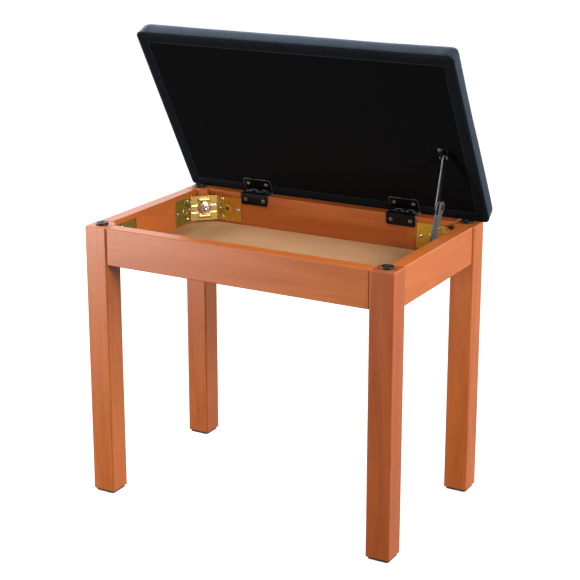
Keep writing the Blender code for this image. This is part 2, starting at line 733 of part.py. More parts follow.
def stay_box_bracket(frame, mats):
    """Plate on the right apron's inner face with the lower arm's pivot."""
    y, z = STAY_BOX
    high = INNER_X - GAP
    low = high - HINGE_T
    outline = [(y + 0.0045 + a, z - 0.0023 + b)
               for a, b in rounded_rectangle(0.0135, 0.0110, 0.004, 3)]
    body = prism(outline, low, high, "x")
    boss_low = STAY_X + CHANNEL_W + GAP
    fuse(body, rod(0.0050, boss_low, low + 0.0002, "x", (y, z)))
    cut(body, rod(PIVOT_HOLE, boss_low - 0.001, INNER_X, "x", (y, z)))
    for index, (screw_y, screw_z) in enumerate(stay_box_screws()):
        place = (low - GAP, screw_y, screw_z)
        cut(body, screw_hole(place, (-1.0, 0.0, 0.0)))
        screw("stay_box_screw_" + "ab"[index], mats["black_metal"], frame, place,
              (-1.0, 0.0, 0.0))
    finish(body, "stay_box_bracket", mats["black_metal"], frame, smooth=radians(30))

    pin_at = empty("stay_box_pivot", (0.0, y, z), frame)
    pin = rivet(STAY_X - GAP, high - 0.0002, (0.0010, 0.0040), None)
    finish(pin, "stay_box_pin", mats["black_metal"], pin_at, smooth=radians(35))


def stay_arms(frame, mats):
    """A flat upper arm beside a lower arm of channel section, joined at the elbow."""
    top = stay_lid_pivot()
    elbow = STAY_ELBOW
    foot = STAY_BOX
    black = mats["black_metal"]

    shoulder = (elbow[0] - 0.0100, elbow[1] + 0.0170)
    upper_at = empty("stay_upper_axis", (0.0, top[0], top[1]), frame)
    upper = eared_bar((top, shoulder, elbow), (0.0044, 0.0056, 0.0072), top,
                      UPPER_LOW_X, UPPER_LOW_X + ARM_T, 5)
    drill_pivots(upper, (top, elbow), top)
    finish(upper, "stay_upper_arm", black, upper_at, smooth=radians(30))

    length = hypot(elbow[0] - foot[0], elbow[1] - foot[1])
    along = ((elbow[0] - foot[0]) / length, (elbow[1] - foot[1]) / length)
    ahead = (-along[1], along[0])            # towards the front of the bench

    def place(distance, forward):
        return (foot[0] + along[0] * distance + ahead[0] * forward,
                foot[1] + along[1] * distance + ahead[1] * forward)

    neck = place(length - 0.013, 0.0008)
    lower_at = empty("stay_lower_axis", (0.0, foot[0], foot[1]), frame)
    high = STAY_X + CHANNEL_W
    radii = (CHANNEL_HALF, CHANNEL_HALF + 0.0007, ELBOW_R)
    lower = eared_bar((foot, neck, elbow), radii, foot, STAY_X, STAY_X + CHANNEL_T, 6)
    fuse(lower, eared_bar((foot, neck, elbow), radii, foot, high - CHANNEL_T, high, 6))
    front = CHANNEL_HALF - 0.0001
    back = front - CHANNEL_T
    strip = [place(0.003, front), place(length - 0.013, front + 0.0014),
             place(length - 0.013, back + 0.0014), place(0.003, back)]
    web = prism([(y - foot[0], z - foot[1]) for y, z in strip],
                STAY_X + CHANNEL_T / 2, high - CHANNEL_T / 2, "x")
    fuse(lower, web)
    drill_pivots(lower, (foot, elbow), foot)
    finish(lower, "stay_lower_arm", black, lower_at, smooth=radians(30))

    shared = ARM_LAYER_GAP / 2 - 0.00005
    eye_at = empty("stay_elbow_lower", (0.0, elbow[0] - foot[0], elbow[1] - foot[1]), lower_at)
    eyelet = rivet(STAY_X - shared, high + GAP, None, (0.0010, RIVET_HEAD_R))
    finish(eyelet, "stay_elbow_rivet", mats["steel"], eye_at, smooth=radians(35))
    tail_at = empty("stay_elbow_upper", (0.0, elbow[0] - top[0], elbow[1] - top[1]), upper_at)
    tail = rivet(UPPER_LOW_X - GAP, UPPER_LOW_X + ARM_T + shared, (0.0010, 0.0036), None)
    finish(tail, "stay_elbow_tail", mats["steel"], tail_at, smooth=radians(35))


# ---------------------------------------------------------------- the whole bench
def build():
    clear_scene()
    mats = {
        "wood": material("cherry_stained_wood", (0.42, 0.11, 0.04), 0.38),
        "panel": material("bottom_hardboard", (0.46, 0.30, 0.17), 0.75),
        "board": material("seat_plywood", (0.52, 0.38, 0.24), 0.7),
        "zinc": material("yellow_zinc", (0.80, 0.62, 0.25), 0.3, 1.0),
        "bolt": material("bolt_zinc", (0.72, 0.62, 0.38), 0.3, 1.0),
        "black_metal": material("black_metal", (0.025, 0.025, 0.028), 0.4, 0.6),
        "steel": material("rivet_steel", (0.45, 0.45, 0.46), 0.35, 1.0),
        "bumper": material("bumper_rubber", (0.02, 0.02, 0.022), 0.5),
        "foot": material("foot_pad_plastic", (0.03, 0.03, 0.03), 0.6),
        "fabric": material("woven_cover", (0.045, 0.06, 0.1), 0.9),
        "dust": material("dust_cover_cloth", (0.012, 0.012, 0.013), 0.9),
    }
    bench = empty("bench", (0.0, FRAME_SHIFT, 0.0))
    for name in CORNERS:
        corner(name, bench, mats)
    aprons(bench, mats)
    bottom_panel(bench, mats)
    lid_axis = empty("lid_axis", (0.0, AXIS_Y, AXIS_Z), bench, (-LID_OPEN, 0.0, 0.0))
    hinges(bench, lid_axis, mats)
    seat_board(lid_axis, mats)
    cover_margin(lid_axis, mats)
    seat_cushion(lid_axis, mats)
    stay_lid_bracket(lid_axis, mats)
    stay_box_bracket(bench, mats)
    stay_arms(bench, mats)


build()
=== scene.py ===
"""Finished look of the wooden piano bench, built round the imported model.

Everything is in metres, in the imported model's frame: +X right, -Y front, +Z up.  The lid
stands open at rest; the lid's pieces are made in the shut lid's own frame, whose origin is
the hinge axis, and are then turned up with it.
"""
import json
import random
from math import acos, atan2, cos, exp, hypot, pi, radians, sin, sqrt

import bmesh
import bpy
from mathutils import Matrix, Vector, noise


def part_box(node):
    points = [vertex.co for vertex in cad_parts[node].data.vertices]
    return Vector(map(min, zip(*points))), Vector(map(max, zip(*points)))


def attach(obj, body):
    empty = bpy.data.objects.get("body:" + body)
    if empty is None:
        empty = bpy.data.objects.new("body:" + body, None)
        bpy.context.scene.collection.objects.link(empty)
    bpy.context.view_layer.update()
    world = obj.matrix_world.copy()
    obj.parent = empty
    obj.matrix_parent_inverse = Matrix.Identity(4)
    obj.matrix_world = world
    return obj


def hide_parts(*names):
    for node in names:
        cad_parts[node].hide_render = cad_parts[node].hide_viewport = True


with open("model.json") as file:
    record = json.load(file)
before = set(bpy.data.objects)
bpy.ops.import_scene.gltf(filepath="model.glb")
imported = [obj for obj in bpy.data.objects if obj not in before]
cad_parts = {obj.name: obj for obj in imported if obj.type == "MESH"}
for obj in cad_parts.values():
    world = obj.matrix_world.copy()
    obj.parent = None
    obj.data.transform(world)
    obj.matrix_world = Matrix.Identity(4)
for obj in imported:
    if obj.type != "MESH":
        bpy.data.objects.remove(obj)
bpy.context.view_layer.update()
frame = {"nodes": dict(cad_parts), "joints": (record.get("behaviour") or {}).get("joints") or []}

# ---------------------------------------------------------------- places from the model
JOINTS = {joint["name"]: joint for joint in frame["joints"]}
AXIS = Vector(JOINTS["lid_hinge"]["pos_m"])
LID_OPEN = radians(60.0)
LID_TO_WORLD = Matrix.Translation((0.0, AXIS.y, AXIS.z)) @ Matrix.Rotation(-LID_OPEN, 4, "X")
FRAME_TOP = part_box("apron_front")[1].z
INNER_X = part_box("apron_right")[0].x
FRONT_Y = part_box("apron_front")[1].y
REAR_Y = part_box("apron_rear")[0].y
CORNERS = {
    "rear_right": (INNER_X, REAR_Y, 0.0),
    "rear_left": (-INNER_X, REAR_Y, pi / 2),
    "front_left": (-INNER_X, FRONT_Y, pi),
    "front_right": (INNER_X, FRONT_Y, 3 * pi / 2),
}


def corner_matrix(name):
    """The frame of a box corner: its own +x and +y point out through the two aprons."""
    x, y, turn = CORNERS[name]
    return Matrix.Translation((x, y, 0.0)) @ Matrix.Rotation(turn, 4, "Z")


# ---------------------------------------------------------------- camera, floor and light
CAMERA_PLACE = (1.1693, -2.0825, 1.0839)
CAMERA_TURN = (30.388, 15.864, -0.323)      # degrees to the left, down and round the view
CAMERA_LENS = 97.25                         # mm, on a sensor 36 mm wide
CAMERA_SHIFT = (0.0531, -0.0697)
SURROUND = {                 # world strength by direction
    "sky_back": 1.62,
    "sky_front": 0.06,
    "ground_back": 0.42,
    "ground_front": 0.04,
}
FRONT_TO_BACK = (-0.2, 0.45)                # directions between which the strength changes
HORIZON = (-0.08, 0.08)
LIGHTS = {                   # name: (place, target, size, power)
    "left": ((-2.4, 0.2, 1.3), (0.0, 0.0, 0.35), (1.2, 1.2), 86.0),
    "right": ((2.4, 0.6, 1.1), (0.2, 0.0, 0.25), (1.2, 1.2), 28.0),
    "front_left": ((-1.55, -1.70, 0.32), (-0.15, -0.1, 0.32), (0.9, 0.6), 46.0),
    "right_high": ((2.2, -1.0, 1.55), (-0.1, 0.0, 0.42), (1.0, 0.8), 65.0),
    "top": ((-1.3, -0.75, 2.35), (0.0, 0.0, 0.40), (0.5, 0.5), 11.0),
}
FLOOR_REACH = 14.0
FLOOR_TONE = 0.36
FLOOR_GLOW = 0.76


def link(obj):
    bpy.context.scene.collection.objects.link(obj)


def add_camera():
    """The product view: above the front right corner, looking a little down."""
    yaw, pitch, roll = (radians(angle) for angle in CAMERA_TURN)
    forward = Vector((-sin(yaw) * cos(pitch), cos(yaw) * cos(pitch), -sin(pitch)))
    level = Vector((cos(yaw), sin(yaw), 0.0))
    upright = level.cross(forward)
    right = level * cos(roll) + upright * sin(roll)
    up = right.cross(forward)
    turn = Matrix((right, up, -forward)).transposed()
    data = bpy.data.cameras.new("camera")
    data.sensor_width = 36.0
    data.lens = CAMERA_LENS
    data.shift_x, data.shift_y = CAMERA_SHIFT
    data.clip_start = 0.05
    data.clip_end = 50.0
    camera = bpy.data.objects.new("camera", data)
    camera.matrix_world = Matrix.Translation(CAMERA_PLACE) @ turn.to_4x4()
    link(camera)
    bpy.context.scene.camera = camera


def add_light(name, place, target, size, power):
    data = bpy.data.lights.new(name, "AREA")
    data.shape = "RECTANGLE"
    data.size, data.size_y = size
    data.energy = power
    light = bpy.data.objects.new(name, data)
    light.location = place
    heading = Vector(target) - Vector(place)
    light.rotation_euler = heading.to_track_quat("-Z", "Y").to_euler()
    link(light)


def add_world():
    """Soft surroundings: a white sweep behind the bench, dimmer in front of it."""
    world = bpy.data.worlds.new("studio")
    bpy.context.scene.world = world
    world.use_nodes = True
    tree = world.node_tree
    place = tree.nodes.new("ShaderNodeTexCoord").outputs["Generated"]
    split = tree.nodes.new("ShaderNodeSeparateXYZ")
    tree.links.new(place, split.inputs[0])

    def span(value, ends, to_low, to_high):
        node = tree.nodes.new("ShaderNodeMapRange")
        for key, item in (("Value", value), ("From Min", ends[0]), ("From Max", ends[1]),
                          ("To Min", to_low), ("To Max", to_high)):
            if isinstance(item, bpy.types.NodeSocket):
                tree.links.new(item, node.inputs[key])
            else:
                node.inputs[key].default_value = item
        return node.outputs[0]

    sky, ground = (span(split.outputs["Y"], FRONT_TO_BACK, SURROUND[part + "_front"],
                        SURROUND[part + "_back"]) for part in ("sky", "ground"))
    tree.links.new(span(split.outputs["Z"], HORIZON, ground, sky),
                   tree.nodes["Background"].inputs["Strength"])
    tree.nodes["Background"].inputs["Color"].default_value = (1.0, 1.0, 1.0, 1.0)


def add_studio():
    """White floor, soft lights and surroundings."""
    bpy.context.scene.view_settings.view_transform = "Standard"
    add_world()
    for name, (place, target, size, power) in LIGHTS.items():
        add_light(name, place, target, size, power)
    mesh = bpy.data.meshes.new("floor")
    mesh.from_pydata([(sx * FLOOR_REACH, sy * FLOOR_REACH, 0.0)
                      for sx, sy in ((-1, -1), (1, -1), (1, 1), (-1, 1))], [], [(0, 1, 2, 3)])
    floor = bpy.data.objects.new("floor", mesh)
    link(floor)
    graph = Graph("floor_paper")
    graph.shader(roughness=0.9, colour=(*grey(FLOOR_TONE), 1.0), emission_strength=FLOOR_GLOW,
                 emission_color=(1.0, 1.0, 1.0, 1.0), specular_ior_level=0.0)
    floor.data.materials.append(graph.material)
    floor.visible_glossy = False
    floor.visible_diffuse = False


# ---------------------------------------------------------------- node graphs
class Graph:
    """A material's node tree, with short calls for the nodes used here."""

    def __init__(self, name):
        self.material = bpy.data.materials.new(name)
        self.material.use_nodes = True
        self.tree = self.material.node_tree
        self.bsdf = self.tree.nodes["Principled BSDF"]
        self.object_place = self.tree.nodes.new("ShaderNodeTexCoord").outputs["Object"]

    def new(self, kind, inputs=(), **settings):
        node = self.tree.nodes.new("ShaderNode" + kind)
        for key, value in settings.items():
            setattr(node, key, value)
        for key, value in dict(inputs).items():
            self.put(node.inputs[key], value)
        return node

    def put(self, socket, value):
        if isinstance(value, bpy.types.NodeSocket):
            self.tree.links.new(value, socket)
        else:
            socket.default_value = value

    def mapped(self, scale=(1.0, 1.0, 1.0), rotation=(0.0, 0.0, 0.0), offset=(0.0, 0.0, 0.0),
               source=None):
        return self.new("Mapping", {"Vector": source or self.object_place, "Scale": scale,
                                    "Rotation": rotation, "Location": offset}).outputs[0]

    def noise(self, vector, scale, detail=3.0, roughness=0.5, distortion=0.0):
        return self.new("TexNoise", {"Vector": vector, "Scale": scale, "Detail": detail,
                                     "Roughness": roughness,
                                     "Distortion": distortion}).outputs["Fac"]

    def wave(self, vector, scale, direction, distortion, detail):
        return self.new("TexWave", {"Vector": vector, "Scale": scale, "Distortion": distortion,
                                    "Detail": detail}, bands_direction=direction).outputs["Fac"]

    def ramp(self, factor, stops):
        node = self.new("ValToRGB", {"Fac": factor})
        elements = node.color_ramp.elements
        for element, (position, colour) in zip(elements, (stops[0], stops[-1])):
            element.position = position
            element.color = (*colour, 1.0)
        for position, colour in stops[1:-1]:
            elements.new(position).color = (*colour, 1.0)
        return node.outputs["Color"]

    def math(self, operation, first, second=0.0):
        return self.new("Math", {0: first, 1: second}, operation=operation).outputs[0]

    def span(self, value, low, high, to_low=0.0, to_high=1.0):
        return self.new("MapRange", {"Value": value, "From Min": low, "From Max": high,
                                     "To Min": to_low, "To Max": to_high}).outputs[0]

    def mix(self, factor, first, second, blend="MIX"):
        node = self.new("Mix", data_type="RGBA", blend_type=blend)
        self.put(node.inputs[0], factor)
        self.put(node.inputs[6], first)
        self.put(node.inputs[7], second)
        return node.outputs[2]

    def tint(self, tone, colour, value, low, high, share):
        """Move a tone towards a colour where value is high, by no more than a share."""
        return self.mix(self.span(value, low, high, 0.0, share), tone, colour)

    def bump(self, height, strength, distance, normal=None):
        inputs = {"Height": height, "Strength": strength, "Distance": distance}
        if normal is not None:
            inputs["Normal"] = normal
        return self.new("Bump", inputs).outputs[0]

    def soft_edges(self, radius):
        return self.new("Bevel", {"Radius": radius}, samples=4).outputs[0]

    def shader(self, colour=None, roughness=None, normal=None, **others):
        for key, value in (("Base Color", colour), ("Roughness", roughness),
                           ("Normal", normal)):
            if value is not None:
                self.put(self.bsdf.inputs[key], value)
        for key, value in others.items():
            self.put(self.bsdf.inputs[key.replace("_", " ").title().replace("Ior", "IOR")],
                     value)
        return self.material


# ---------------------------------------------------------------- materials
def grey(value):
    return (value, value, value)


def wood_material(name, along, seed, shade=(1.0, 1.0, 1.0)):
    """Cherry-stained close-grained wood under satin lacquer, grain along one axis."""
    g = Graph(name)
    turn = {"x": (0.0, pi / 2, 0.0), "y": (pi / 2, 0.0, 0.0), "z": (0.0, 0.0, 0.0)}[along]
    offset = (seed * 3.1, seed * 1.7, seed * 2.3)
    place = g.mapped(rotation=turn, offset=offset)
    bands = g.noise(g.mapped((1.0, 1.0, 0.10), source=place), 30.0, 5.0, 0.58, 0.7)
    fibres = g.noise(g.mapped((1.0, 1.0, 0.035), source=place), 420.0, 3.0, 0.6)
    pores = g.noise(g.mapped((1.0, 1.0, 0.05), source=place), 900.0, 2.0, 0.5)
    cloudy = g.noise(g.mapped((1.0, 1.0, 0.4), source=place), 5.0, 2.0, 0.5)
    tone = g.ramp(bands, [
        (0.28, (0.330, 0.072, 0.012)),
        (0.47, (0.450, 0.110, 0.018)),
        (0.60, (0.500, 0.129, 0.023)),
        (0.74, (0.400, 0.092, 0.014)),
    ])
    tone = g.tint(tone, (0.55, 0.156, 0.031, 1.0), cloudy, 0.35, 0.68, 0.40)
    tone = g.tint(tone, (0.32, 0.050, 0.007, 1.0), fibres, 0.34, 0.66, 0.30)
    open_pore = g.span(pores, 0.64, 0.72)
    tone = g.mix(g.math("MULTIPLY", open_pore, 0.55), tone, (0.17, 0.033, 0.010, 1.0))
    tone = g.new("VectorMath", {0: tone, 1: shade}, operation="MULTIPLY").outputs[0]
    relief = g.math("SUBTRACT", g.math("MULTIPLY", fibres, 0.35), open_pore)
    lacquer = g.noise(place, 55.0, 2.0)
    normal = g.bump(relief, 0.16, 0.00025, g.bump(lacquer, 0.05, 0.0006, g.soft_edges(0.0008)))
    return g.shader(tone, g.span(bands, 0.2, 0.8, 0.33, 0.45), normal, coat_weight=0.34,
                    coat_roughness=0.28, specular_ior_level=0.34)


def fabric_material(name, tint, sheen, specular):
    """Tightly woven upholstery cloth, dark blue-grey with paler flecks."""
    g = Graph(name)
    place = g.mapped(rotation=(LID_OPEN, 0.0, 0.0))
    pitch = 0.0011               # between two threads
    waver = g.noise(place, 190.0, 2.0)
    parts = g.new("SeparateXYZ", {0: place})
    facing = g.new("SeparateXYZ", {0: g.new("VectorRotate", {
        "Vector": g.new("NewGeometry").outputs["Normal"], "Axis": (1.0, 0.0, 0.0),
        "Angle": LID_OPEN}).outputs[0]})
    waves = []
    for axis in range(3):
        phase = g.math("MULTIPLY", parts.outputs[axis], 2 * pi / pitch)
        phase = g.math("ADD", phase, g.math("MULTIPLY", waver, 1.6))
        waves.append(g.math("SINE", phase))
    weave = 0.0
    for first, second, across in ((0, 1, 2), (1, 2, 0), (0, 2, 1)):
        over = g.math("MULTIPLY", waves[first], waves[second])
        share = g.math("POWER", g.math("ABSOLUTE", facing.outputs[across]), 2.0)
        weave = g.math("ADD", g.math("MULTIPLY", over, share), weave)
    fleck = g.noise(g.mapped((1.0, 0.35, 1.0), source=place), 700.0, 2.0, 0.6)
    slub = g.noise(g.mapped((0.22, 1.0, 1.0), source=place), 260.0, 3.0, 0.6)
    cloudy = g.noise(place, 14.0, 3.0)
    dark = tuple(v * 0.52 for v in tint) + (1.0,)
    pale = tuple(min(1.0, v * 1.95 + 0.012) for v in tint) + (1.0,)
    # Painted shade: the cloth is darker where the weave dips.
    tone = g.mix(g.span(weave, -0.9, 0.9), dark, (*tint, 1.0))
    tone = g.tint(tone, pale, fleck, 0.50, 0.74, 0.75)
    tone = g.tint(tone, pale, slub, 0.55, 0.78, 0.45)
    tone = g.tint(tone, dark, cloudy, 0.35, 0.7, 0.22)
    height = g.math("ADD", g.math("MULTIPLY", weave, 0.5), g.math("MULTIPLY", fleck, 0.9))
    return g.shader(tone, 0.80, g.bump(height, 0.55, 0.00035), sheen_weight=sheen,
                    sheen_roughness=0.35, sheen_tint=(0.50, 0.68, 1.0, 1.0),
                    specular_ior_level=specular, specular_tint=(0.62, 0.78, 1.0, 1.0))


def dust_cloth_material():
    """Black spun cloth with a fine speckle."""
    g = Graph("black_dust_cloth")
    place = g.mapped(rotation=(LID_OPEN, 0.0, 0.0))
    specks = g.noise(place, 900.0, 3.0, 0.7)
    dimple = g.new("TexVoronoi", {"Vector": place, "Scale": 620.0}).outputs["Distance"]
    cloudy = g.noise(place, 9.0, 3.0)
    tone = g.ramp(specks, [(0.35, (0.0012, 0.0014, 0.0016)), (0.7, (0.0033, 0.0040, 0.0046))])
    tone = g.tint(tone, (0.0018, 0.0018, 0.0020, 1.0), cloudy, 0.35, 0.7, 0.3)
    height = g.math("ADD", g.math("MULTIPLY", dimple, 0.6), specks)
    return g.shader(tone, 0.95, g.bump(height, 0.4, 0.0003), specular_ior_level=0.08)


def zinc_material(name, tint, iridescence_and_painted_light):
    """Chromated zinc plate, banded; painted light by facing: greener sideways, paler on slanted
    faces.
    """
    g = Graph(name)
    place = g.object_place
    drift = g.noise(place, 34.0, 3.0, 0.55, 0.8)
    spots = g.noise(place, 260.0, 3.0, 0.6)
    r, gr, b = tint
    tone = g.ramp(drift, [
        (0.30, (r * 0.62, gr * 0.86, b * 0.75)),
        (0.43, (r, gr, b)),
        (0.55, (r * 1.02, gr * 0.90, b * 0.72)),
        (0.68, (min(1.0, r * 1.06), gr * 0.72, b * 1.35)),
    ])
    tone = g.mix(iridescence_and_painted_light, (r, gr, b, 1.0), tone)
    # Painted reflection and shade by facing: half-sideways faces go bluer, faces looking along x
    # go darker and greener.
    parts = g.new("SeparateXYZ", {0: g.new("NewGeometry").outputs["Normal"]})
    sideways = g.math("ABSOLUTE", parts.outputs["X"])
    slanted = g.math("MULTIPLY", g.span(sideways, 0.25, 0.6), g.span(sideways, 0.95, 0.8))
    tone = g.mix(g.math("MULTIPLY", slanted, iridescence_and_painted_light * 0.8), tone,
                 (r * 0.74, gr * 0.80, b * 2.1, 1.0))
    tone = g.mix(g.math("MULTIPLY", g.span(sideways, 0.85, 0.97), iridescence_and_painted_light), tone,
                 (r * 0.34, gr * 0.60, b * 0.9, 1.0))
    tone = g.tint(tone, (r * 0.55, gr * 0.5, b * 0.4, 1.0), spots, 0.5, 0.75, 0.3)
    rough = g.span(spots, 0.3, 0.7, 0.22, 0.38)
    normal = g.bump(spots, 0.12, 0.0002, g.soft_edges(0.0003))
    return g.shader(tone, rough, normal, metallic=0.92)


def black_metal_material(name, level, rough, edge_highlight, specular, edge_width=0.0005, cut=0.0):
    """Black electro-coated steel, with a painted highlight: paler along its edges.

    The cut is how much paler the narrow faces that don't look sideways are painted, as a
    highlight.
    """
    g = Graph(name)
    spots = g.noise(g.object_place, 420.0, 3.0, 0.6)
    smear = g.noise(g.object_place, 60.0, 3.0)
    bevelled = g.soft_edges(edge_width)
    straight = g.new("NewGeometry").outputs["Normal"]
    agree = g.new("VectorMath", {0: bevelled, 1: straight}, operation="DOT_PRODUCT")
    edge = g.span(agree.outputs["Value"], 0.985, 0.93)
    # Painted highlight: bevelled edges are mixed towards pale grey, unevenly along the smear.
    highlit_edge = g.math("MULTIPLY", edge, g.span(smear, 0.35, 0.65, 0.25, 1.0))
    tone = g.ramp(spots, [(0.3, grey(level * 0.75)), (0.7, grey(level * 1.35))])
    tone = g.mix(g.math("MULTIPLY", highlit_edge, edge_highlight), tone, (0.42, 0.43, 0.46, 1.0))
    if cut:
        # Painted highlight: faces that don't look along x are mixed towards pale grey.
        parts = g.new("SeparateXYZ", {0: straight})
        narrow_face_highlight = g.span(g.math("ABSOLUTE", parts.outputs["X"]), 0.6, 0.3)
        tone = g.mix(g.math("MULTIPLY", narrow_face_highlight, cut), tone, (0.22, 0.225, 0.24, 1.0))
    roughness = g.span(smear, 0.3, 0.7, rough - 0.07, rough + 0.08)
    return g.shader(tone, roughness, g.bump(spots, 0.10, 0.0002, bevelled),
                    metallic=0.30, specular_ior_level=specular)


def rubber_material(name, level):
    """Dull black rubber or plastic with a fine grain."""
    g = Graph(name)
    grain = g.noise(g.object_place, 800.0, 3.0, 0.65)
    smear = g.noise(g.object_place, 90.0, 2.0)
    tone = g.ramp(smear, [(0.3, grey(level * 0.8)), (0.7, grey(level * 1.3))])
    return g.shader(tone, g.span(smear, 0.3, 0.7, 0.34, 0.5), g.bump(grain, 0.2, 0.0002),
                    specular_ior_level=0.32)


def hardboard_material():
    """Smooth tan fibreboard."""
    g = Graph("tan_hardboard")
    fibre = g.noise(g.mapped((1.0, 0.55, 1.0)), 420.0, 4.0, 0.7)
    cloud = g.noise(g.object_place, 13.0, 4.0, 0.55)
    flecks = g.noise(g.mapped((0.4, 1.0, 1.0)), 760.0, 2.0, 0.6)
    tone = g.ramp(fibre, [(0.3, (0.500, 0.262, 0.122)), (0.7, (0.640, 0.365, 0.180))])
    tone = g.tint(tone, (0.48, 0.24, 0.110, 1.0), cloud, 0.35, 0.7, 0.35)
    tone = g.tint(tone, (0.26, 0.145, 0.075, 1.0), flecks, 0.66, 0.74, 0.5)
    return g.shader(tone, 0.62, g.bump(fibre, 0.12, 0.0003))


def plywood_material():
    """Bare plywood with its plies showing at the edges."""
    g = Graph("bare_plywood")
    place = g.mapped(rotation=(LID_OPEN, 0.0, 0.0))
    plies = g.wave(place, 130.0, "Z", 0.6, 2.0)
    fibre = g.noise(g.mapped((0.08, 1.0, 1.0), source=place), 380.0, 3.0, 0.6)
    tone = g.ramp(plies, [(0.25, (0.34, 0.21, 0.11)), (0.75, (0.55, 0.39, 0.23))])
    tone = g.tint(tone, (0.42, 0.27, 0.14, 1.0), fibre, 0.4, 0.7, 0.4)
    return g.shader(tone, 0.75, g.bump(fibre, 0.2, 0.0003))


# ---------------------------------------------------------------- mesh helpers
def mesh_object(name, bm, material, matrix=None, smooth=None):
    """An object from a bmesh, moved by a matrix that is baked into its mesh."""
    if matrix is not None:
        bmesh.ops.transform(bm, matrix=matrix, verts=bm.verts)
    bmesh.ops.recalc_face_normals(bm, faces=bm.faces)
    mesh = bpy.data.meshes.new(name)
    bm.to_mesh(mesh)
    bm.free()
    obj = bpy.data.objects.new(name, mesh)
    link(obj)
    mesh.materials.append(material)
    if smooth is not None:
        mesh.shade_smooth()
        mesh.set_sharp_from_angle(angle=smooth)
    return obj


def settle(obj, body, nodes):
    """Hang a piece on its body and hide the CAD nodes it stands for."""
    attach(obj, body)
    if nodes:
        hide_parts(*nodes)


def add_piece(name, bm, material, matrix, smooth, body, nodes):
    """A finished piece that rides on a body; smooth is its sharpest soft edge, in degrees."""
    settle(mesh_object(name, bm, material, matrix, radians(smooth)), body, nodes)


def repaint(mesh, material):
    mesh.materials.clear()
    mesh.materials.append(material)


def to_mesh(obj):
    """Replace an object's mesh by its evaluated one and drop its modifiers."""
    graph = bpy.context.evaluated_depsgraph_get()
    mesh = bpy.data.meshes.new_from_object(obj.evaluated_get(graph))
    obj.modifiers.clear()
    obj.data = mesh


def combine(obj, other, operation, use_self=False):
    """Boolean with another object, which is then removed."""
    modifier = obj.modifiers.new("combine", "BOOLEAN")
    modifier.operation = operation
    modifier.solver = "EXACT"
    modifier.use_self = use_self
    modifier.object = other
    to_mesh(obj)
    bpy.data.objects.remove(other, do_unlink=True)


def circle(radius, count, centre=(0.0, 0.0)):
    return [(centre[0] + radius * cos(2 * pi * i / count),
             centre[1] + radius * sin(2 * pi * i / count)) for i in range(count)]


def arc(centre, radius, first, last, steps):
    angles = [first + (last - first) * i / steps for i in range(steps + 1)]
    return [(centre[0] + radius * cos(a), centre[1] + radius * sin(a)) for a in angles]


def rounded_rectangle(half_x, half_y, radius, steps=4, centre_y=0.0):
    points = []
    for sx, sy, first in ((1, 1, 0.0), (-1, 1, pi / 2), (-1, -1, pi), (1, -1, 1.5 * pi)):
        centre = (sx * (half_x - radius), centre_y + sy * (half_y - radius))
        points += arc(centre, radius, first, first + pi / 2, steps)
    return points


def add_loft(bm, rings, closed=False):
    """Skin rings of equally many points inside a bmesh."""
    loops = [[bm.verts.new(point) for point in ring] for ring in rings]
    pairs = list(zip(loops, loops[1:]))
    if closed:
        pairs.append((loops[-1], loops[0]))
    else:
        bm.faces.new(loops[0])
        bm.faces.new(loops[-1])
    for lower, upper in pairs:
        count = len(lower)
        for i in range(count):
            j = (i + 1) % count
            bm.faces.new((lower[i], lower[j], upper[j], upper[i]))


def add_turned(bm, profile, count):
    """A solid turned about z from (radius, height) points."""
    add_loft(bm, [[(x, y, height) for x, y in circle(radius, count)]
                  for radius, height in profile])


def add_pin(bm, profile, count, centre=(0.0, 0.0), closed=False):
    """A solid turned about the x direction from (radius, x) points."""
    add_loft(bm, [[(x, y, z) for y, z in circle(radius, count, centre)]
                  for radius, x in profile], closed)


def aimed(place, direction, spin=0.0):
    """The matrix that carries +Z to a direction and the origin to a place."""
    turn = Vector((0.0, 0.0, 1.0)).rotation_difference(Vector(direction))
    return (Matrix.Translation(place) @ turn.to_matrix().to_4x4()
            @ Matrix.Rotation(spin, 4, "Z"))


# ---------------------------------------------------------------- the padded lid
LID_UNDERSIDE = 0.0026       # level of the hem and the dust cloth, from the hinge axis
LID_FRONT = 0.321            # reach of the lid in front of the axis, and behind it
LID_REAR = 0.004
LID_MID_Y = (LID_REAR - LID_FRONT) / 2
LID_HALF_Y = (LID_REAR + LID_FRONT) / 2
PAD_MID_X = 0.0032           # the cover stands a little further out at the right
PAD_HALF_X = 0.2748
PAD_HALF_Y = LID_HALF_Y + 0.0002
PAD_H = 0.0362
PAD_SHOULDER = 0.0115
PAD_CORNER = 0.0062
PAD_WRAP = 0.0018            # rounding of its lower edge
PAD_CROWN = [(0.070, 0.0018), (0.130, 0.0028)]      # inset and rise above the shoulder
PAD_GRAIN = 0.0046           # voxel size of the mesh that swells
STAPLED = 0.004              # held fast below this height, free above twice as much
AIR_PRESSURE = 0.35
SWELL_FRAMES = 16
SWELL_LIMIT = 0.009


def cushion_start():
    """The pad before it swells: flat underneath, with round shoulders."""
    rings = []
    low = LID_UNDERSIDE + 0.0002
    for i in range(5):
        angle = i / 4 * pi / 2
        rings.append((PAD_WRAP * (1 - sin(angle)), low + PAD_WRAP * (1 - cos(angle))))
    height = PAD_H - 0.0035
    for i in range(7):
        angle = i / 6 * pi / 2
        rings.append((PAD_SHOULDER * (1 - cos(angle)),
                      low + height - PAD_SHOULDER * (1 - sin(angle))))
    rings += [(inset, low + height + rise) for inset, rise in PAD_CROWN]
    bm = bmesh.new()
    add_loft(bm, [[(x + PAD_MID_X, y, z) for x, y in
                   rounded_rectangle(PAD_HALF_X - inset, PAD_HALF_Y - inset,
                                     PAD_CORNER + inset * 0.35, 6, LID_MID_Y)]
                  for inset, z in rings])
    return bm


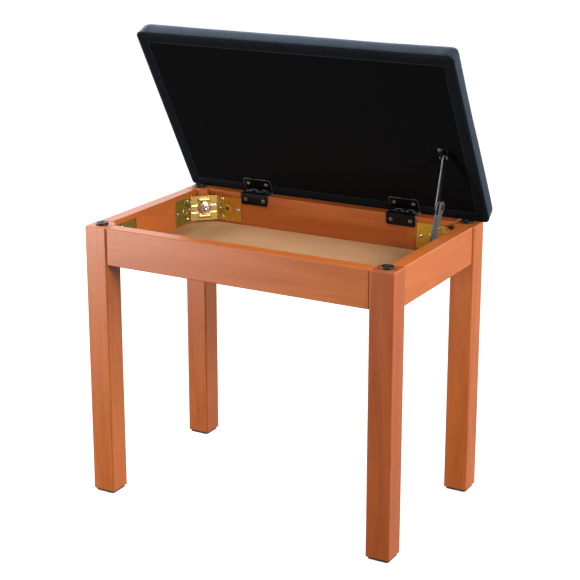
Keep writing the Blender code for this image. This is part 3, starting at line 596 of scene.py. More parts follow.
def swell(obj):
    """Let cloth over trapped air round the pad out; its underside is stapled to the board."""
    held = obj.vertex_groups.new(name="stapled")
    for vert in obj.data.vertices:
        up = vert.co.z - LID_UNDERSIDE
        if up < 2 * STAPLED:
            weight = 1.0 if up < STAPLED else (2 * STAPLED - up) / STAPLED
            held.add([vert.index], weight, "REPLACE")
    start = [vert.co.copy() for vert in obj.data.vertices]
    cloth = obj.modifiers.new("cloth", "CLOTH")
    settings = cloth.settings
    settings.vertex_group_mass = "stapled"
    settings.pin_stiffness = 1.0
    settings.use_pressure = True
    settings.uniform_pressure_force = AIR_PRESSURE
    settings.quality = 5
    settings.tension_stiffness = 18.0
    settings.compression_stiffness = 12.0
    settings.bending_stiffness = 1.2
    settings.effector_weights.gravity = 0.0
    cloth.point_cache.frame_start = 1
    cloth.point_cache.frame_end = SWELL_FRAMES
    scene = bpy.context.scene
    scene.frame_start, scene.frame_end = 1, SWELL_FRAMES
    for step in range(1, SWELL_FRAMES + 1):
        scene.frame_set(step)
    to_mesh(obj)
    scene.frame_set(1)
    for vert, rest in zip(obj.data.vertices, start):
        move = vert.co - rest
        if move.length > SWELL_LIMIT:
            vert.co = rest + move.normalized() * SWELL_LIMIT


def dress_corner_folds(obj):
    """Gather the cover round each corner, ripple it a little and keep the pad in its box."""
    normals = [vert.normal.copy() for vert in obj.data.vertices]
    low = LID_UNDERSIDE + 0.0001
    for vert, normal in zip(obj.data.vertices, normals):
        point = vert.co
        near_x = PAD_HALF_X - abs(point.x - PAD_MID_X)
        near_y = PAD_HALF_Y - abs(point.y - LID_MID_Y)
        height = point.z - LID_UNDERSIDE
        reach = exp(-(max(near_x, 0.0) ** 2 + max(near_y, 0.0) ** 2) / 0.028 ** 2)
        turn = atan2(near_y + 0.012, near_x + 0.012) - pi / 4
        side = 1.0 if point.x * (point.y - LID_MID_Y) > 0 else -1.0
        depth = exp(-((height - 0.006) / 0.012) ** 2)
        folds = 0.00085 * reach * depth * sin(turn * 17.0 * side + 0.9)
        slow = Vector((point.x * 7.0, point.y * 7.0, 3.0))
        ripple = 0.0010 * noise.noise(slow) * min(1.0, max(0.0, height / 0.03))
        drag = noise.noise(Vector((point.x * 30.0, point.y * 30.0, point.z * 16.0)))
        ripple += 0.00022 * drag * min(1.0, max(0.0, height / 0.012))
        moved = point + normal * (folds + ripple)
        limit_x = PAD_HALF_X + 0.0010
        moved.x = PAD_MID_X + max(-limit_x, min(limit_x, moved.x - PAD_MID_X))
        moved.y = max(-LID_FRONT - 0.0012, min(LID_REAR + 0.0006, moved.y))
        moved.z = max(low, moved.z)
        vert.co = moved


def make_cushion(material):
    """The padding under its cover: a closed crowned form, swollen as cloth."""
    pad = mesh_object("padded_cover", cushion_start(), material)
    remesh = pad.modifiers.new("remesh", "REMESH")
    remesh.mode = "VOXEL"
    remesh.voxel_size = PAD_GRAIN
    to_mesh(pad)
    swell(pad)
    smooth = pad.modifiers.new("smooth", "SUBSURF")
    smooth.levels = smooth.render_levels = 1
    to_mesh(pad)
    dress_corner_folds(pad)
    pad.data.transform(LID_TO_WORLD)
    repaint(pad.data, material)
    pad.data.shade_smooth()
    settle(pad, "lid", ["seat_cushion"])


def hem_point(along, across, corner_r, half_x, half_y):
    """A point on the hem's ring; along runs round the lid, across runs inwards."""
    x, y = half_x - corner_r, half_y - corner_r
    lengths = [2 * y, pi / 2 * corner_r, 2 * x, pi / 2 * corner_r] * 2
    total = sum(lengths)
    place = along % 1.0 * total
    centres = [(x, 0.0), (x, y), (0.0, y), (-x, y), (-x, 0.0), (-x, -y), (0.0, -y), (x, -y)]
    for index, length in enumerate(lengths):
        if place <= length or index == 7:
            break
        place -= length
    quarter = index // 2 * pi / 2
    if index % 2 == 0:
        outward = Vector((cos(quarter), sin(quarter)))
        sideways = Vector((-outward.y, outward.x))
        base = Vector(centres[index]) + outward * corner_r + sideways * (place - length / 2)
        return base - outward * across, outward
    angle = quarter + place / corner_r
    outward = Vector((cos(angle), sin(angle)))
    return Vector(centres[index]) + outward * (corner_r - across), outward


HEM_STEPS = 720
HEM_CORNER = 0.0075
HEM_WIDTH = 0.0172
HEM_PROUD = 0.0011           # beyond the pad's side
HEM_SECTION = [              # (distance inwards, drop below the lid)
    (0.0000, -0.0028), (0.0006, -0.0001), (0.0030, 0.0009), (0.0060, 0.0013),
    (0.0100, 0.0012), (0.0135, 0.0009), (0.0160, 0.0006), (HEM_WIDTH, 0.0001),
    (HEM_WIDTH, -0.0005)]


def make_hem(material):
    """The cover's margin, turned under the lid, with small pleats at its corners."""
    half_x, half_y = PAD_HALF_X + HEM_PROUD, PAD_HALF_Y + HEM_PROUD
    rings = []
    for i in range(HEM_STEPS):
        ring = []
        for across, drop in HEM_SECTION:
            share = across / HEM_WIDTH
            point, outward = hem_point(i / HEM_STEPS, min(across, HEM_CORNER), HEM_CORNER,
                                       half_x, half_y)
            point = point - outward * max(0.0, across - HEM_CORNER)
            off_x = half_x - abs(point.x)
            off_y = half_y - abs(point.y)
            corner = exp(-((off_x - off_y) / 0.011) ** 2) * exp(-(min(off_x, off_y) / 0.05) ** 2)
            corner *= 1.0 if max(off_x, off_y) < 0.03 else 0.0
            swing = (off_x - off_y) * 900.0
            pleat = 0.00055 * corner * sin(swing) * share
            wander = noise.noise(Vector((point.x * 40.0, point.y * 40.0, 9.0)))
            puff = 0.00018 * wander
            ring.append((point.x + PAD_MID_X, point.y + LID_MID_Y,
                         LID_UNDERSIDE - drop - pleat - puff))
        rings.append(ring)
    bm = bmesh.new()
    loops = [[bm.verts.new(point) for point in ring] for ring in rings]
    for first, second in zip(loops, loops[1:] + loops[:1]):
        for i in range(len(HEM_SECTION) - 1):
            bm.faces.new((first[i], first[i + 1], second[i + 1], second[i]))
        bm.faces.new((first[-1], first[0], second[0], second[-1]))
    bmesh.ops.remove_doubles(bm, verts=bm.verts, dist=1e-6)
    add_piece("cover_margin", bm, material, LID_TO_WORLD, 60, "lid", ["cover_hem"])


def make_dust_cloth(material):
    """Thin black cloth under the board, its edge folded in, a little slack."""
    inset = 0.0175
    half_x, half_y = PAD_HALF_X - inset, PAD_HALF_Y - inset
    steps_x, steps_y = 150, 86
    bm = bmesh.new()
    grid = []
    for j in range(steps_y + 1):
        row = []
        for i in range(steps_x + 1):
            x = half_x * (2 * i / steps_x - 1)
            y = half_y * (2 * j / steps_y - 1)
            edge = min(half_x - abs(x), half_y - abs(y))
            fold = 0.00045 * exp(-((edge - 0.004) / 0.0045) ** 2)
            slack = noise.noise(Vector((x * 9.0, y * 9.0, 5.0)))
            fine = noise.noise(Vector((x * 36.0, y * 36.0, 2.0)))
            inside = min(1.0, edge / 0.02)
            sag = (0.00035 * slack + 0.00012 * fine) * inside
            row.append(bm.verts.new((x + PAD_MID_X, y + LID_MID_Y, LID_UNDERSIDE - 0.00005
                                     - fold * 0.4 + abs(sag) * 0.9)))
        grid.append(row)
    for lower, upper in zip(grid, grid[1:]):
        for i in range(steps_x):
            bm.faces.new((lower[i], lower[i + 1], upper[i + 1], upper[i]))
    rim = bmesh.ops.extrude_face_region(bm, geom=list(bm.faces))
    lifted = [item for item in rim["geom"] if isinstance(item, bmesh.types.BMVert)]
    for vert in lifted:
        vert.co.z = LID_UNDERSIDE + 0.0010
    add_piece("dust_cloth", bm, material, LID_TO_WORLD, 50, "lid", ["dust_cover"])


# ---------------------------------------------------------------- screws
PAN_H = 0.0018               # height of a black screw's head


def screw_mesh(radius, height, recess):
    """A pan head with a cross recess, its seat at z = 0."""
    bm = bmesh.new()
    profile = [(radius * 0.5, -0.0008), (radius * 0.98, 0.0), (radius, height * 0.22),
               (radius * 0.96, height * 0.48), (radius * 0.82, height * 0.76),
               (radius * 0.58, height * 0.93), (radius * 0.30, height)]
    add_turned(bm, profile, 28)
    head = mesh_object("screw_head", bm, MATERIALS["black"])
    arm, width = radius * 0.56, radius * 0.155
    cutter = bmesh.new()
    for turn in (0.0, pi / 2):
        rings = []
        for share, z in ((0.35, height - recess), (1.0, height + 0.001)):
            half_x, half_y = arm * share, width * (0.55 + 0.45 * share)
            corners = [(-half_x, -half_y), (half_x, -half_y), (half_x, half_y),
                       (-half_x, half_y)]
            c, s = cos(turn), sin(turn)
            rings.append([(x * c - y * s, x * s + y * c, z) for x, y in corners])
        add_loft(cutter, rings)
    tool = mesh_object("screw_recess", cutter, MATERIALS["black"])
    combine(head, tool, "DIFFERENCE", True)
    mesh = head.data
    bpy.data.objects.remove(head, do_unlink=True)
    return mesh


def place_screws(name, mesh, places, material, body, matrix, stands_for):
    """Copies of a screw head in one piece; places are (point, direction) pairs."""
    bm = bmesh.new()
    for point, direction in places:
        start = len(bm.verts)
        bm.from_mesh(mesh)
        bm.verts.ensure_lookup_table()
        turn = RANDOM.uniform(0.0, pi / 2)
        bmesh.ops.transform(bm, matrix=aimed(point, direction, turn), verts=bm.verts[start:])
    add_piece(name, bm, material, matrix, 32, body, stands_for)


# ---------------------------------------------------------------- hinges
HINGE_X = 0.136
HINGE_HALF = 0.026
HINGE_T = 0.0012
HINGE_KNUCKLES = 5
KNUCKLE_R = 0.00220
KNUCKLE_BORE = 0.00130
BOX_LEAF_TOP = FRAME_TOP + 0.00035 + HINGE_T - AXIS.z     # upper face, from the axis
BOX_LEAF_FACE = REAR_Y - AXIS.y - 0.0003                  # back of its upright part
BOX_LEAF_DROP = 0.0206                                    # its bottom below the axis
LID_LEAF_TOP = LID_UNDERSIDE - 0.00035
LID_LEAF_FRONT = 0.0264
LEAF_ROUND = 0.0040
KNUCKLE_GAP = 0.00036
BOX_LEAF_BEND = 0.0012


def add_strip(bm, path, start, end, thickness, round_r=0.0):
    """A bent plate: path holds (y, z) on its middle line, start and end are in x.

    The far end of the path has rounded corners of radius round_r.
    """
    lengths = [0.0]
    for first, second in zip(path, path[1:]):
        lengths.append(lengths[-1] + hypot(second[0] - first[0], second[1] - first[1]))
    rings = []
    for index, (y, z) in enumerate(path):
        before, after = path[max(index - 1, 0)], path[min(index + 1, len(path) - 1)]
        run = Vector((after[0] - before[0], after[1] - before[1])).normalized()
        off = Vector((-run.y, run.x)) * thickness / 2
        left = lengths[-1] - lengths[index]
        cut = 0.0
        if round_r and left < round_r:
            cut = round_r - sqrt(max(round_r ** 2 - (round_r - left) ** 2, 0.0))
        rings.append([(start + cut, y + off.x, z + off.y), (end - cut, y + off.x, z + off.y),
                      (end - cut, y - off.x, z - off.y), (start + cut, y - off.x, z - off.y)])
    add_loft(bm, rings)


def leaf_end(first, second, round_r, steps=7):
    """Points from first to second, crowded over the last round_r for the corners."""
    run = Vector(second) - Vector(first)
    length = run.length
    points = [Vector(first)]
    for i in range(1, steps + 1):
        left = round_r * (1 - sin(i / steps * pi / 2))
        points.append(Vector(first) + run * ((length - left) / length))
    return [tuple(point) for point in points]


def add_knuckle(bm, index, tongue):
    """A rolled eye round the pin, and the tongue by which it joins its leaf."""
    pitch = 2 * HINGE_HALF / HINGE_KNUCKLES
    start = -HINGE_HALF + index * pitch + KNUCKLE_GAP / 2
    end = start + pitch - KNUCKLE_GAP
    bevel = 0.00025
    profile = [(KNUCKLE_BORE, start), (KNUCKLE_R - bevel, start), (KNUCKLE_R, start + bevel),
               (KNUCKLE_R, end - bevel), (KNUCKLE_R - bevel, end), (KNUCKLE_BORE, end)]
    add_pin(bm, profile, 28, closed=True)
    add_strip(bm, tongue, start, end, HINGE_T)


def make_hinge(side, sign):
    """Two leaves with interlaced knuckles and their pin."""
    turn = Matrix.Translation((sign * HINGE_X, AXIS.y, AXIS.z))
    back = -KNUCKLE_R + 0.0006
    top = BOX_LEAF_TOP - HINGE_T / 2
    face = BOX_LEAF_FACE - HINGE_T / 2
    bend = BOX_LEAF_BEND
    bm = bmesh.new()
    tongue = [(back, top), (-KNUCKLE_R - 0.0012, top)]
    path = tongue[1:] + arc((face + bend, top - bend), bend, pi / 2, pi, 6)
    path += leaf_end(path[-1], (face, -BOX_LEAF_DROP), LEAF_ROUND)[1:]
    add_strip(bm, path, -HINGE_HALF, HINGE_HALF, HINGE_T, LEAF_ROUND)
    for index in range(0, HINGE_KNUCKLES, 2):
        add_knuckle(bm, index, tongue)
    add_piece("hinge_fixed_leaf_" + side, bm, MATERIALS["black"], turn, 35, "frame",
              ["hinge_box_leaf_" + side])

    bm = bmesh.new()
    middle = LID_LEAF_TOP - HINGE_T / 2
    add_strip(bm, leaf_end((-KNUCKLE_R - 0.0004, middle), (-LID_LEAF_FRONT, middle), LEAF_ROUND),
              -HINGE_HALF, HINGE_HALF, HINGE_T, LEAF_ROUND)
    for index in range(1, HINGE_KNUCKLES, 2):
        add_knuckle(bm, index, [(back, middle), (-KNUCKLE_R - 0.0008, middle)])
    add_piece("hinge_moving_leaf_" + side, bm, MATERIALS["black"],
              LID_TO_WORLD @ Matrix.Translation((sign * HINGE_X, 0.0, 0.0)), 35, "lid",
              ["hinge_lid_leaf_" + side])

    bm = bmesh.new()
    reach = HINGE_HALF + 0.00005
    profile = [(0.0008, -reach), (0.0012, -reach + 0.0003), (0.0012, reach - 0.0003),
               (0.0008, reach)]
    add_pin(bm, profile, 20)
    add_piece("hinge_rod_" + side, bm, MATERIALS["steel_dark"], turn, 35, "frame",
              ["hinge_pin_" + side])


# ---------------------------------------------------------------- the folding stay
LID_PIVOT = JOINTS["stay_upper_pivot"]["pos_m"][1:]
BOX_PIVOT = JOINTS["stay_lower_pivot"]["pos_m"][1:]
ELBOW = ((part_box("stay_elbow_rivet")[0].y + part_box("stay_elbow_rivet")[1].y) / 2,
         (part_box("stay_elbow_rivet")[0].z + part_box("stay_elbow_rivet")[1].z) / 2)
CHANNEL_HALF = 0.0055
CHANNEL_T = 0.0014
ELBOW_R = 0.0090
ELBOW_SHIFT = -0.0068        # the arms lean inwards, away from the apron
FOOT_SHIFT = -0.0080
ROUND_STEPS = 20
NECK_AT = 0.013              # from the elbow, where the channel's sides widen to ears
NECK_GROWTH = 0.0007


def plate(outline, low_x, high_x):
    """A flat plate from its (y, z) outline."""
    bm = bmesh.new()
    add_loft(bm, [[(x, y, z) for y, z in outline] for x in (low_x, high_x)])
    return mesh_object("plate", bm, MATERIALS["black"])


def tapered_link(first, first_r, second, second_r):
    """Outline of a link whose round ends have two different radii."""
    dx, dy = second[0] - first[0], second[1] - first[1]
    heading = atan2(dy, dx)
    lean = acos((first_r - second_r) / hypot(dx, dy))
    return (arc(first, first_r, heading + lean, heading + 2 * pi - lean, ROUND_STEPS)
            + arc(second, second_r, heading - lean, heading + lean, ROUND_STEPS))


def bevel_mesh(obj, width):
    """Break the sharp edges."""
    bevel = obj.modifiers.new("edges", "BEVEL")
    bevel.width = width
    bevel.segments = 2
    bevel.limit_method = "ANGLE"
    bevel.angle_limit = radians(35)
    to_mesh(obj)
    obj.data.shade_smooth()
    obj.data.set_sharp_from_angle(angle=radians(40))


def join_plates(name, plates, material, width):
    """One piece from overlapping plates, its edges broken."""
    body = plates[0]
    for other in plates[1:]:
        combine(body, other, "UNION")
    body.name = name
    bevel_mesh(body, width)
    repaint(body.data, material)
    return body


def lean(obj, first, first_shift, second, second_shift):
    """Slide an arm sideways, by a share that grows from one pivot to the other."""
    run = (second[0] - first[0], second[1] - first[1])
    for vert in obj.data.vertices:
        share = (((vert.co.y - first[0]) * run[0] + (vert.co.z - first[1]) * run[1])
                 / (run[0] ** 2 + run[1] ** 2))
        vert.co.x += first_shift + (second_shift - first_shift) * share


def make_arms():
    """The upper arm is a flat strip; the lower one a channel with two round ears."""
    low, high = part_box("stay_upper_arm")
    upper = join_plates("upper_link", [
        plate(tapered_link(LID_PIVOT, 0.0044, ELBOW, 0.0072), low.x, high.x),
    ], MATERIALS["arm"], 0.0004)
    lean(upper, LID_PIVOT, 0.0, ELBOW, ELBOW_SHIFT)
    settle(upper, "stay_upper", ["stay_upper_arm"])

    low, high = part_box("stay_lower_arm")
    length = hypot(ELBOW[0] - BOX_PIVOT[0], ELBOW[1] - BOX_PIVOT[1])
    along = ((ELBOW[0] - BOX_PIVOT[0]) / length, (ELBOW[1] - BOX_PIVOT[1]) / length)

    def place(distance, forward):
        return (BOX_PIVOT[0] + along[0] * distance - along[1] * forward,
                BOX_PIVOT[1] + along[1] * distance + along[0] * forward)

    neck = place(length - NECK_AT, 0.0008)
    neck_r = CHANNEL_HALF + NECK_GROWTH
    plates = []
    for start in (low.x, high.x - CHANNEL_T):
        for outline in (tapered_link(BOX_PIVOT, CHANNEL_HALF, neck, neck_r),
                        tapered_link(neck, neck_r, ELBOW, ELBOW_R)):
            plates.append(plate(outline, start, start + CHANNEL_T))
    front = CHANNEL_HALF - 0.0001
    back = front - CHANNEL_T
    rise = 2 * NECK_GROWTH
    web = [place(0.003, front), place(length - NECK_AT, front + rise),
           place(length - NECK_AT, back + rise), place(0.003, back)]
    plates.append(plate(web, low.x + 0.0001, high.x - 0.0001))
    lower = join_plates("lower_link", plates, MATERIALS["gunmetal"], 0.0003)
    lean(lower, ELBOW, ELBOW_SHIFT, BOX_PIVOT, FOOT_SHIFT)
    settle(lower, "stay_lower", ["stay_lower_arm"])


def make_rivet(name, node, body, profile, centre, material):
    """A turned pin along x; the profile holds (radius, x)."""
    bm = bmesh.new()
    add_pin(bm, profile, 32, centre)
    add_piece(name, bm, material, None, 32, body, [node])


def make_rivets():
    """The elbow's two halves and the pins at the stay's two ends."""
    low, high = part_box("stay_elbow_rivet")
    start, end = low.x + ELBOW_SHIFT, high.x + ELBOW_SHIFT
    rim = end - 0.0010
    # The eyelet takes the dark material, which paints the shade of its hollow.
    make_rivet("elbow_eyelet", "stay_elbow_rivet", "stay_lower", [
        (0.0020, start), (0.0020, rim), (0.0042, rim), (0.0041, rim + 0.0006),
        (0.0036, end), (0.0029, end), (0.0025, end - 0.0004),
        (0.0024, end - 0.0040)], ELBOW, MATERIALS["eyelet"])
    low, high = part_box("stay_elbow_tail")
    start, end = low.x + ELBOW_SHIFT, high.x + ELBOW_SHIFT
    make_rivet("elbow_tail", "stay_elbow_tail", "stay_upper", [
        (0.0016, start), (0.0030, start + 0.0003), (0.0036, start + 0.0008),
        (0.0036, start + 0.0010), (0.0020, start + 0.0010), (0.0020, end)],
        ELBOW, MATERIALS["steel"])
    low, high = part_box("stay_lid_pin")
    make_rivet("lid_fork_pin", "stay_lid_pin", "lid", [
        (0.0012, low.x), (0.0026, low.x + 0.0003), (0.0032, low.x + 0.0009),
        (0.0020, low.x + 0.0009), (0.0020, high.x - 0.0009), (0.0032, high.x - 0.0009),
        (0.0026, high.x - 0.0003), (0.0012, high.x)], LID_PIVOT, MATERIALS["gunmetal"])
    low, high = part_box("stay_box_pin")
    start = low.x + FOOT_SHIFT
    make_rivet("box_plate_pin", "stay_box_pin", "frame", [
        (0.0014, start), (0.0032, start + 0.0003), (0.0040, start + 0.0010),
        (0.0020, start + 0.0010), (0.0020, high.x)], BOX_PIVOT, MATERIALS["gunmetal"])


def soften(name, node, body, material, width):
    """The CAD piece with its edges broken."""
    source = frame["nodes"][node]
    mesh = source.data.copy()
    mesh.transform(source.matrix_world)
    repaint(mesh, material)
    piece = bpy.data.objects.new(name, mesh)
    link(piece)
    bevel_mesh(piece, width)
    settle(piece, body, [node])


# ---------------------------------------------------------------- corner brackets
BRACKET_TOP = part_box("corner_bracket_front_left")[1].z
BRACKET_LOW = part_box("corner_bracket_front_left")[0].z
BRACKET_MID = (BRACKET_TOP + BRACKET_LOW) / 2
BRACKET_HALF = (BRACKET_TOP - BRACKET_LOW) / 2
BRACKET_END = 0.0795
BRACKET_CORNER = 0.0315
BRACKET_T = 0.0016
BRACKET_BACK = 0.0022        # back face, inside the apron's pocket
BEND_R = 0.0035
EYELET_AT = 0.0515
EYELET_R = 0.0036
RELIEF_STEP = 0.0008         # spacing of the points that carry the pressed relief
WING_SCREWS = [(0.0425, 0.0155), (0.0365, 0.0), (0.0425, -0.0155), (0.0735, 0.0)]


def bracket_path():
    """Samples (x, y, heading, distance from the middle) along a bracket's back face.

    The second result is how far from the middle a wing's bend ends.
    """
    tangent = BEND_R * (sqrt(2) - 1)
    wing = BRACKET_END - BRACKET_CORNER - tangent
    bend = BEND_R * pi / 4
    diagonal = sqrt(2) * (BRACKET_CORNER + BRACKET_BACK) - 2 * tangent
    total = 2 * wing + 2 * bend + diagonal
    samples = []
    x, y, gone = BRACKET_BACK, -BRACKET_END, 0.0
    count = round(total / RELIEF_STEP)
    fine = 8
    for i in range(count + 1):
        target = total * i / count
        while gone < target - 1e-9:
            part = min(total / count / fine, target - gone)
            middle = gone + part / 2
            turned_by = min(bend, max(0.0, middle - wing))
            turned_by += min(bend, max(0.0, middle - wing - bend - diagonal))
            heading = pi / 2 + turned_by / BEND_R
            x += part * cos(heading)
            y += part * sin(heading)
            gone += part
        turned_by = min(bend, max(0.0, gone - wing))
        turned_by += min(bend, max(0.0, gone - wing - bend - diagonal))
        samples.append((x, y, pi / 2 + turned_by / BEND_R, gone - total / 2))
    return samples, diagonal / 2 + bend


def capsule_distance(u, v, centre_u, centre_v, half_length):
    along = max(0.0, abs(u - centre_u) - half_length)
    return hypot(along, v - centre_v)


def eyelet_centre(bend_at):
    return bend_at + EYELET_AT - BRACKET_CORNER - 0.001


def smooth_step(value):
    value = max(0.0, min(1.0, value))
    return value * value * (3 - 2 * value)


def bracket_relief(u, v, bend_at):
    """Pressed ribs and rings, in metres towards the middle of the box."""
    rise = 0.0
    for side in (-1, 1):
        rib = capsule_distance(u, v, 0.0, side * 0.0142, 0.0085)
        rise += 0.0016 * smooth_step((0.0030 - rib) / 0.0022)
        for end in (-1, 1):
            groove = capsule_distance(u, v, end * 0.0165, side * 0.0062, 0.0048)
            rise -= 0.0007 * smooth_step((0.0016 - groove) / 0.0012)
    ring = abs(hypot(u, v) - 0.0108)
    rise -= 0.0006 * smooth_step((0.0014 - ring) / 0.0012)
    away = hypot(abs(u) - eyelet_centre(bend_at), v) - EYELET_R
    rise += 0.0017 * smooth_step((0.0030 - away) / 0.0026)
    return rise


def make_bracket(name, material):
    """A pressed corner plate with ribs, grooves and an eyelet in each wing."""
    samples, bend_at = bracket_path()
    rows = round(2 * BRACKET_HALF / RELIEF_STEP)
    eyelet = eyelet_centre(bend_at)
    bm = bmesh.new()
    grid = []
    for x, y, heading, u in samples:
        inward = Vector((-sin(heading), cos(heading), 0.0))
        column = []
        for j in range(rows + 1):
            v = -BRACKET_HALF + 2 * BRACKET_HALF * j / rows
            here_u, here_v = u, v
            off_u, off_v = abs(u) - eyelet, v
            away = hypot(off_u, off_v)
            if EYELET_R - 0.45 * RELIEF_STEP < away < EYELET_R + 0.75 * RELIEF_STEP:
                pull = EYELET_R / away
                here_u = (eyelet + off_u * pull) * (1 if u > 0 else -1)
                here_v = off_v * pull
            shift = here_u - u
            rise = bracket_relief(here_u, here_v, bend_at)
            along = Vector((cos(heading), sin(heading), 0.0))
            point = Vector((x, y, BRACKET_MID + here_v)) + along * shift + inward * rise
            column.append((bm.verts.new(point), away))
        grid.append(column)
    for left, right in zip(grid, grid[1:]):
        for j in range(rows):
            corners = (left[j], right[j], right[j + 1], left[j + 1])
            if sum(away for _, away in corners) / 4 < EYELET_R:
                continue
            bm.faces.new([vert for vert, _ in corners])
    loose = [vert for vert in bm.verts if not vert.link_faces]
    bmesh.ops.delete(bm, geom=loose, context="VERTS")
    sheet = mesh_object("bracket_plate_" + name, bm, material)
    thick = sheet.modifiers.new("thickness", "SOLIDIFY")
    thick.thickness = BRACKET_T
    thick.offset = 0.0
    to_mesh(sheet)
    inward = Vector((-1.0, -1.0, 0.0)).normalized() * BRACKET_T / 2 * 0.7
    sheet.data.transform(Matrix.Translation(inward))
    sheet.data.transform(corner_matrix(name))
    repaint(sheet.data, material)
    sheet.data.shade_smooth()
    sheet.data.set_sharp_from_angle(angle=radians(48))
    settle(sheet, "frame", ["corner_bracket_" + name])


def bracket_screw_places():
    """Seats and directions of one bracket's eight wing screws, in its corner's frame."""
    front = BRACKET_BACK - BRACKET_T
    places = []
    for across, up in WING_SCREWS:
        places.append(((front, -across, BRACKET_MID + up), (-1.0, 0.0, 0.0)))
        places.append(((-across, front, BRACKET_MID + up), (0.0, -1.0, 0.0)))
    return places


def make_bolt(name, material):
    """Threaded end of the hanger bolt; the rest is in the leg."""
    start, end = -0.017, 0.0350
    radius, pitch = 0.0037, 0.0010
    profile = [(radius * 0.6, start)]
    z = start + 0.001
    while z < end - 0.0012:
        profile += [(radius, z), (radius * 0.86, z + pitch * 0.5)]
        z += pitch
    profile += [(radius * 0.95, end - 0.0008), (radius * 0.72, end)]
    bm = bmesh.new()
    add_turned(bm, profile, 28)
    matrix = corner_matrix(name) @ aimed((0.0, 0.0, BRACKET_MID), (-1.0, -1.0, 0.0))
    add_piece("threaded_bolt_" + name, bm, material, matrix, 70, "frame",
              ["hanger_bolt_" + name])


def make_nut(name, material):
    """Hexagon nut on a domed washer."""
    seat = (BRACKET_CORNER - BRACKET_BACK) / sqrt(2) + BRACKET_T + 0.0002
    across, height, bore = 0.0130, 0.0064, 0.0038
    count = 48

    def hexagon(size, limit):
        ring = []
        for i in range(count):
            angle = 2 * pi * i / count
            off = (angle + pi / 6) % (pi / 3) - pi / 6
            radius = min(size / 2 / cos(off), limit)
            ring.append((radius * cos(angle), radius * sin(angle)))
        return ring

    def level(points, z):
        return [(x, y, z) for x, y in points]

    bm = bmesh.new()
    washer_top = seat + 0.0018
    add_loft(bm, [level(circle(0.0044, count), seat), level(circle(0.0096, count), seat),
                  level(circle(0.0099, count), seat + 0.0006),
                  level(circle(0.0093, count), seat + 0.0012),
                  level(circle(0.0072, count), washer_top),
                  level(circle(0.0044, count), washer_top)], closed=True)
    corner = across / 2 / cos(pi / 6)
    base = washer_top + 0.0001
    rings = [level(circle(bore, count), base), level(hexagon(across, corner * 0.93), base)]
    for share, limit in ((0.10, 1.0), (0.88, 1.0), (0.97, 0.94), (1.0, 0.885)):
        rings.append(level(hexagon(across, corner * limit), base + height * share))
    rings.append(level(circle(bore * 1.15, count), base + height))
    rings.append(level(circle(bore, count), base + height * 0.93))
    add_loft(bm, rings, closed=True)
    matrix = corner_matrix(name) @ aimed((0.0, 0.0, BRACKET_MID), (-1.0, -1.0, 0.0), 0.35)
    add_piece("hexagon_nut_" + name, bm, material, matrix, 28, "frame", ["bolt_nut_" + name])


BUTTON_PRESSED = 0.0014      # lower than the CAD's, clear of the lid's margin when shut


def make_bumper(name, material):
    """Round rubber button with a rolled edge and a dished top."""
    low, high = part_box("lid_bumper_" + name)
    middle = (low + high) / 2
    radius = (high.x - low.x) / 2
    height = high.z - low.z - BUTTON_PRESSED
    profile = [(radius * 0.97, 0.0), (radius, height * 0.12), (radius, height * 0.5),
               (radius * 0.975, height * 0.76), (radius * 0.90, height * 0.94),
               (radius * 0.80, height), (radius * 0.55, height * 0.97),
               (radius * 0.34, height * 0.90), (radius * 0.30, height * 0.62),
               (radius * 0.10, height * 0.60)]
    bm = bmesh.new()
    add_turned(bm, profile, 48)
    add_piece("rubber_button_" + name, bm, material,
              Matrix.Translation((middle.x, middle.y, low.z)), 45, "frame",
              ["lid_bumper_" + name])


# ---------------------------------------------------------------- everything
RANDOM = random.Random(7)
MATERIALS = {
    "wood_z": wood_material("cherry_upright", "z", 1.0),
    "wood_dark": wood_material("cherry_darker_leg", "z", 4.0, (0.78, 0.70, 0.80)),
    "wood_x": wood_material("cherry_lengthwise", "x", 2.0),
    "wood_y": wood_material("cherry_crosswise", "y", 3.0),
    "hardboard": hardboard_material(),
    "plywood": plywood_material(),
    "fabric": fabric_material("woven_blue_grey", (0.0085, 0.0130, 0.0190), 0.34, 0.45),
    # The turned-under margin is the cover cloth made darker: painted shade.
    "margin": fabric_material("woven_margin_painted_shade", (0.0036, 0.0052, 0.0074), 0.04, 0.12),
    "dust": dust_cloth_material(),
    "zinc": zinc_material("yellow_chromate", (0.80, 0.60, 0.095), 0.85),
    "bolt": zinc_material("pale_zinc", (0.72, 0.64, 0.44), 0.5),
    "black": black_metal_material("black_coated_steel", 0.0035, 0.34, 1.0, 0.20, 0.0009),
    "arm": black_metal_material("arm_steel", 0.006, 0.34, 0.5, 0.25, cut=0.55),
    "gunmetal": black_metal_material("gunmetal", 0.075, 0.34, 0.6, 0.38),
    # Real black for the lid fork; on the elbow eyelet the dark is painted shade of its hollow.
    "eyelet": black_metal_material("dark_steel_and_eyelet_hole_shade", 0.003, 0.42, 0.15, 0.2),
    "steel_dark": black_metal_material("hinge_pin_steel", 0.030, 0.28, 0.4, 0.38),
    "steel": zinc_material("rivet_steel", (0.50, 0.50, 0.51), 0.1),
    "rubber": rubber_material("black_rubber", 0.008),
    "foot": rubber_material("dark_foot_pad", 0.03),
    # The screws' lighter grey is a painted glint.
    "screw": black_metal_material("screw_black", 0.10, 0.22, 1.0, 0.5),
}


def paint_model():
    """Looks for the CAD pieces that stay as they are."""
    looks = {"bottom_panel": "hardboard", "seat_board": "plywood", "apron_front": "wood_x",
             "apron_rear": "wood_x", "apron_left": "wood_y", "apron_right": "wood_y"}
    for name in CORNERS:
        looks["leg_" + name] = "wood_dark" if name == "front_right" else "wood_z"
        looks["foot_pad_" + name] = "foot"
    for node, look in looks.items():
        repaint(frame["nodes"][node].data, MATERIALS[look])


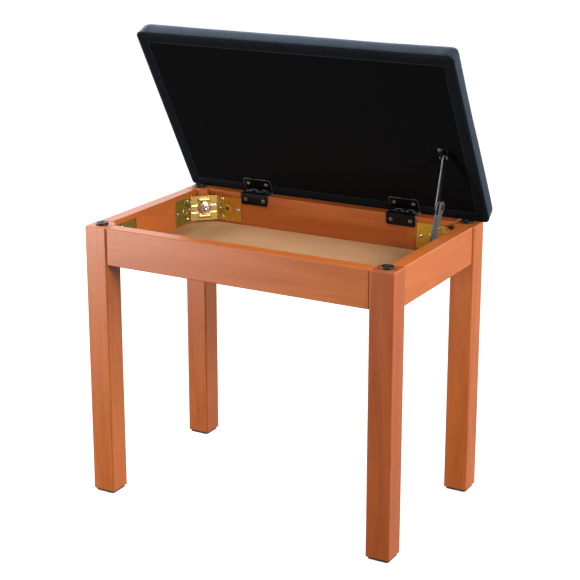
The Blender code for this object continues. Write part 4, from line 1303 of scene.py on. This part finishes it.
def lid_screw_seat(node):
    """Seat of a screw under the lid: found in the shut lid's frame."""
    shut = LID_TO_WORLD.inverted()
    points = [shut @ vert.co for vert in frame["nodes"][node].data.vertices]
    x = (min(p.x for p in points) + max(p.x for p in points)) / 2
    y = (min(p.y for p in points) + max(p.y for p in points)) / 2
    z = min(p.z for p in points) + PAN_H
    return LID_TO_WORLD @ Vector((x, y, z))


def box_screw_seat(node, facing):
    """Seat of a screw inside the box, whose head faces -x or -y."""
    low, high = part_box(node)
    seat = (low + high) / 2
    seat[facing] = low[facing] + PAN_H
    return seat


def make_screws():
    black_screw = screw_mesh(0.0034, PAN_H, 0.0011)
    zinc_screw = screw_mesh(0.0035, 0.0020, 0.0012)
    down = LID_TO_WORLD.to_3x3() @ Vector((0.0, 0.0, -1.0))

    def add(part, where, direction, body, seat):
        node = part + "_screw_" + where
        place_screws(part + "_pan_" + where, black_screw, [(seat, direction)],
                     MATERIALS["screw"], body, None, [node])

    for where in ("left_a", "left_b", "right_a", "right_b"):
        add("hinge_box", where, (0.0, -1.0, 0.0), "frame",
            box_screw_seat("hinge_box_screw_" + where, 1))
        add("hinge_lid", where, down, "lid", lid_screw_seat("hinge_lid_screw_" + where))
    for where in "ab":
        add("stay_lid", where, down, "lid", lid_screw_seat("stay_lid_screw_" + where))
        add("stay_box", where, (-1.0, 0.0, 0.0), "frame",
            box_screw_seat("stay_box_screw_" + where, 0))
    for name in CORNERS:
        place_screws("wing_screws_" + name, zinc_screw, bracket_screw_places(),
                     MATERIALS["bolt"], "frame", corner_matrix(name), ())


add_camera()
add_studio()
paint_model()
make_cushion(MATERIALS["fabric"])
make_hem(MATERIALS["margin"])
make_dust_cloth(MATERIALS["dust"])
for corner_name in CORNERS:
    make_bracket(corner_name, MATERIALS["zinc"])
    make_bolt(corner_name, MATERIALS["bolt"])
    make_nut(corner_name, MATERIALS["bolt"])
    make_bumper(corner_name, MATERIALS["rubber"])
for hinge_side, hinge_sign in (("left", -1), ("right", 1)):
    make_hinge(hinge_side, hinge_sign)
make_arms()
make_rivets()
soften("lid_fork", "stay_lid_bracket", "lid", MATERIALS["eyelet"], 0.0003)
soften("box_plate", "stay_box_bracket", "frame", MATERIALS["black"], 0.0003)
make_screws()
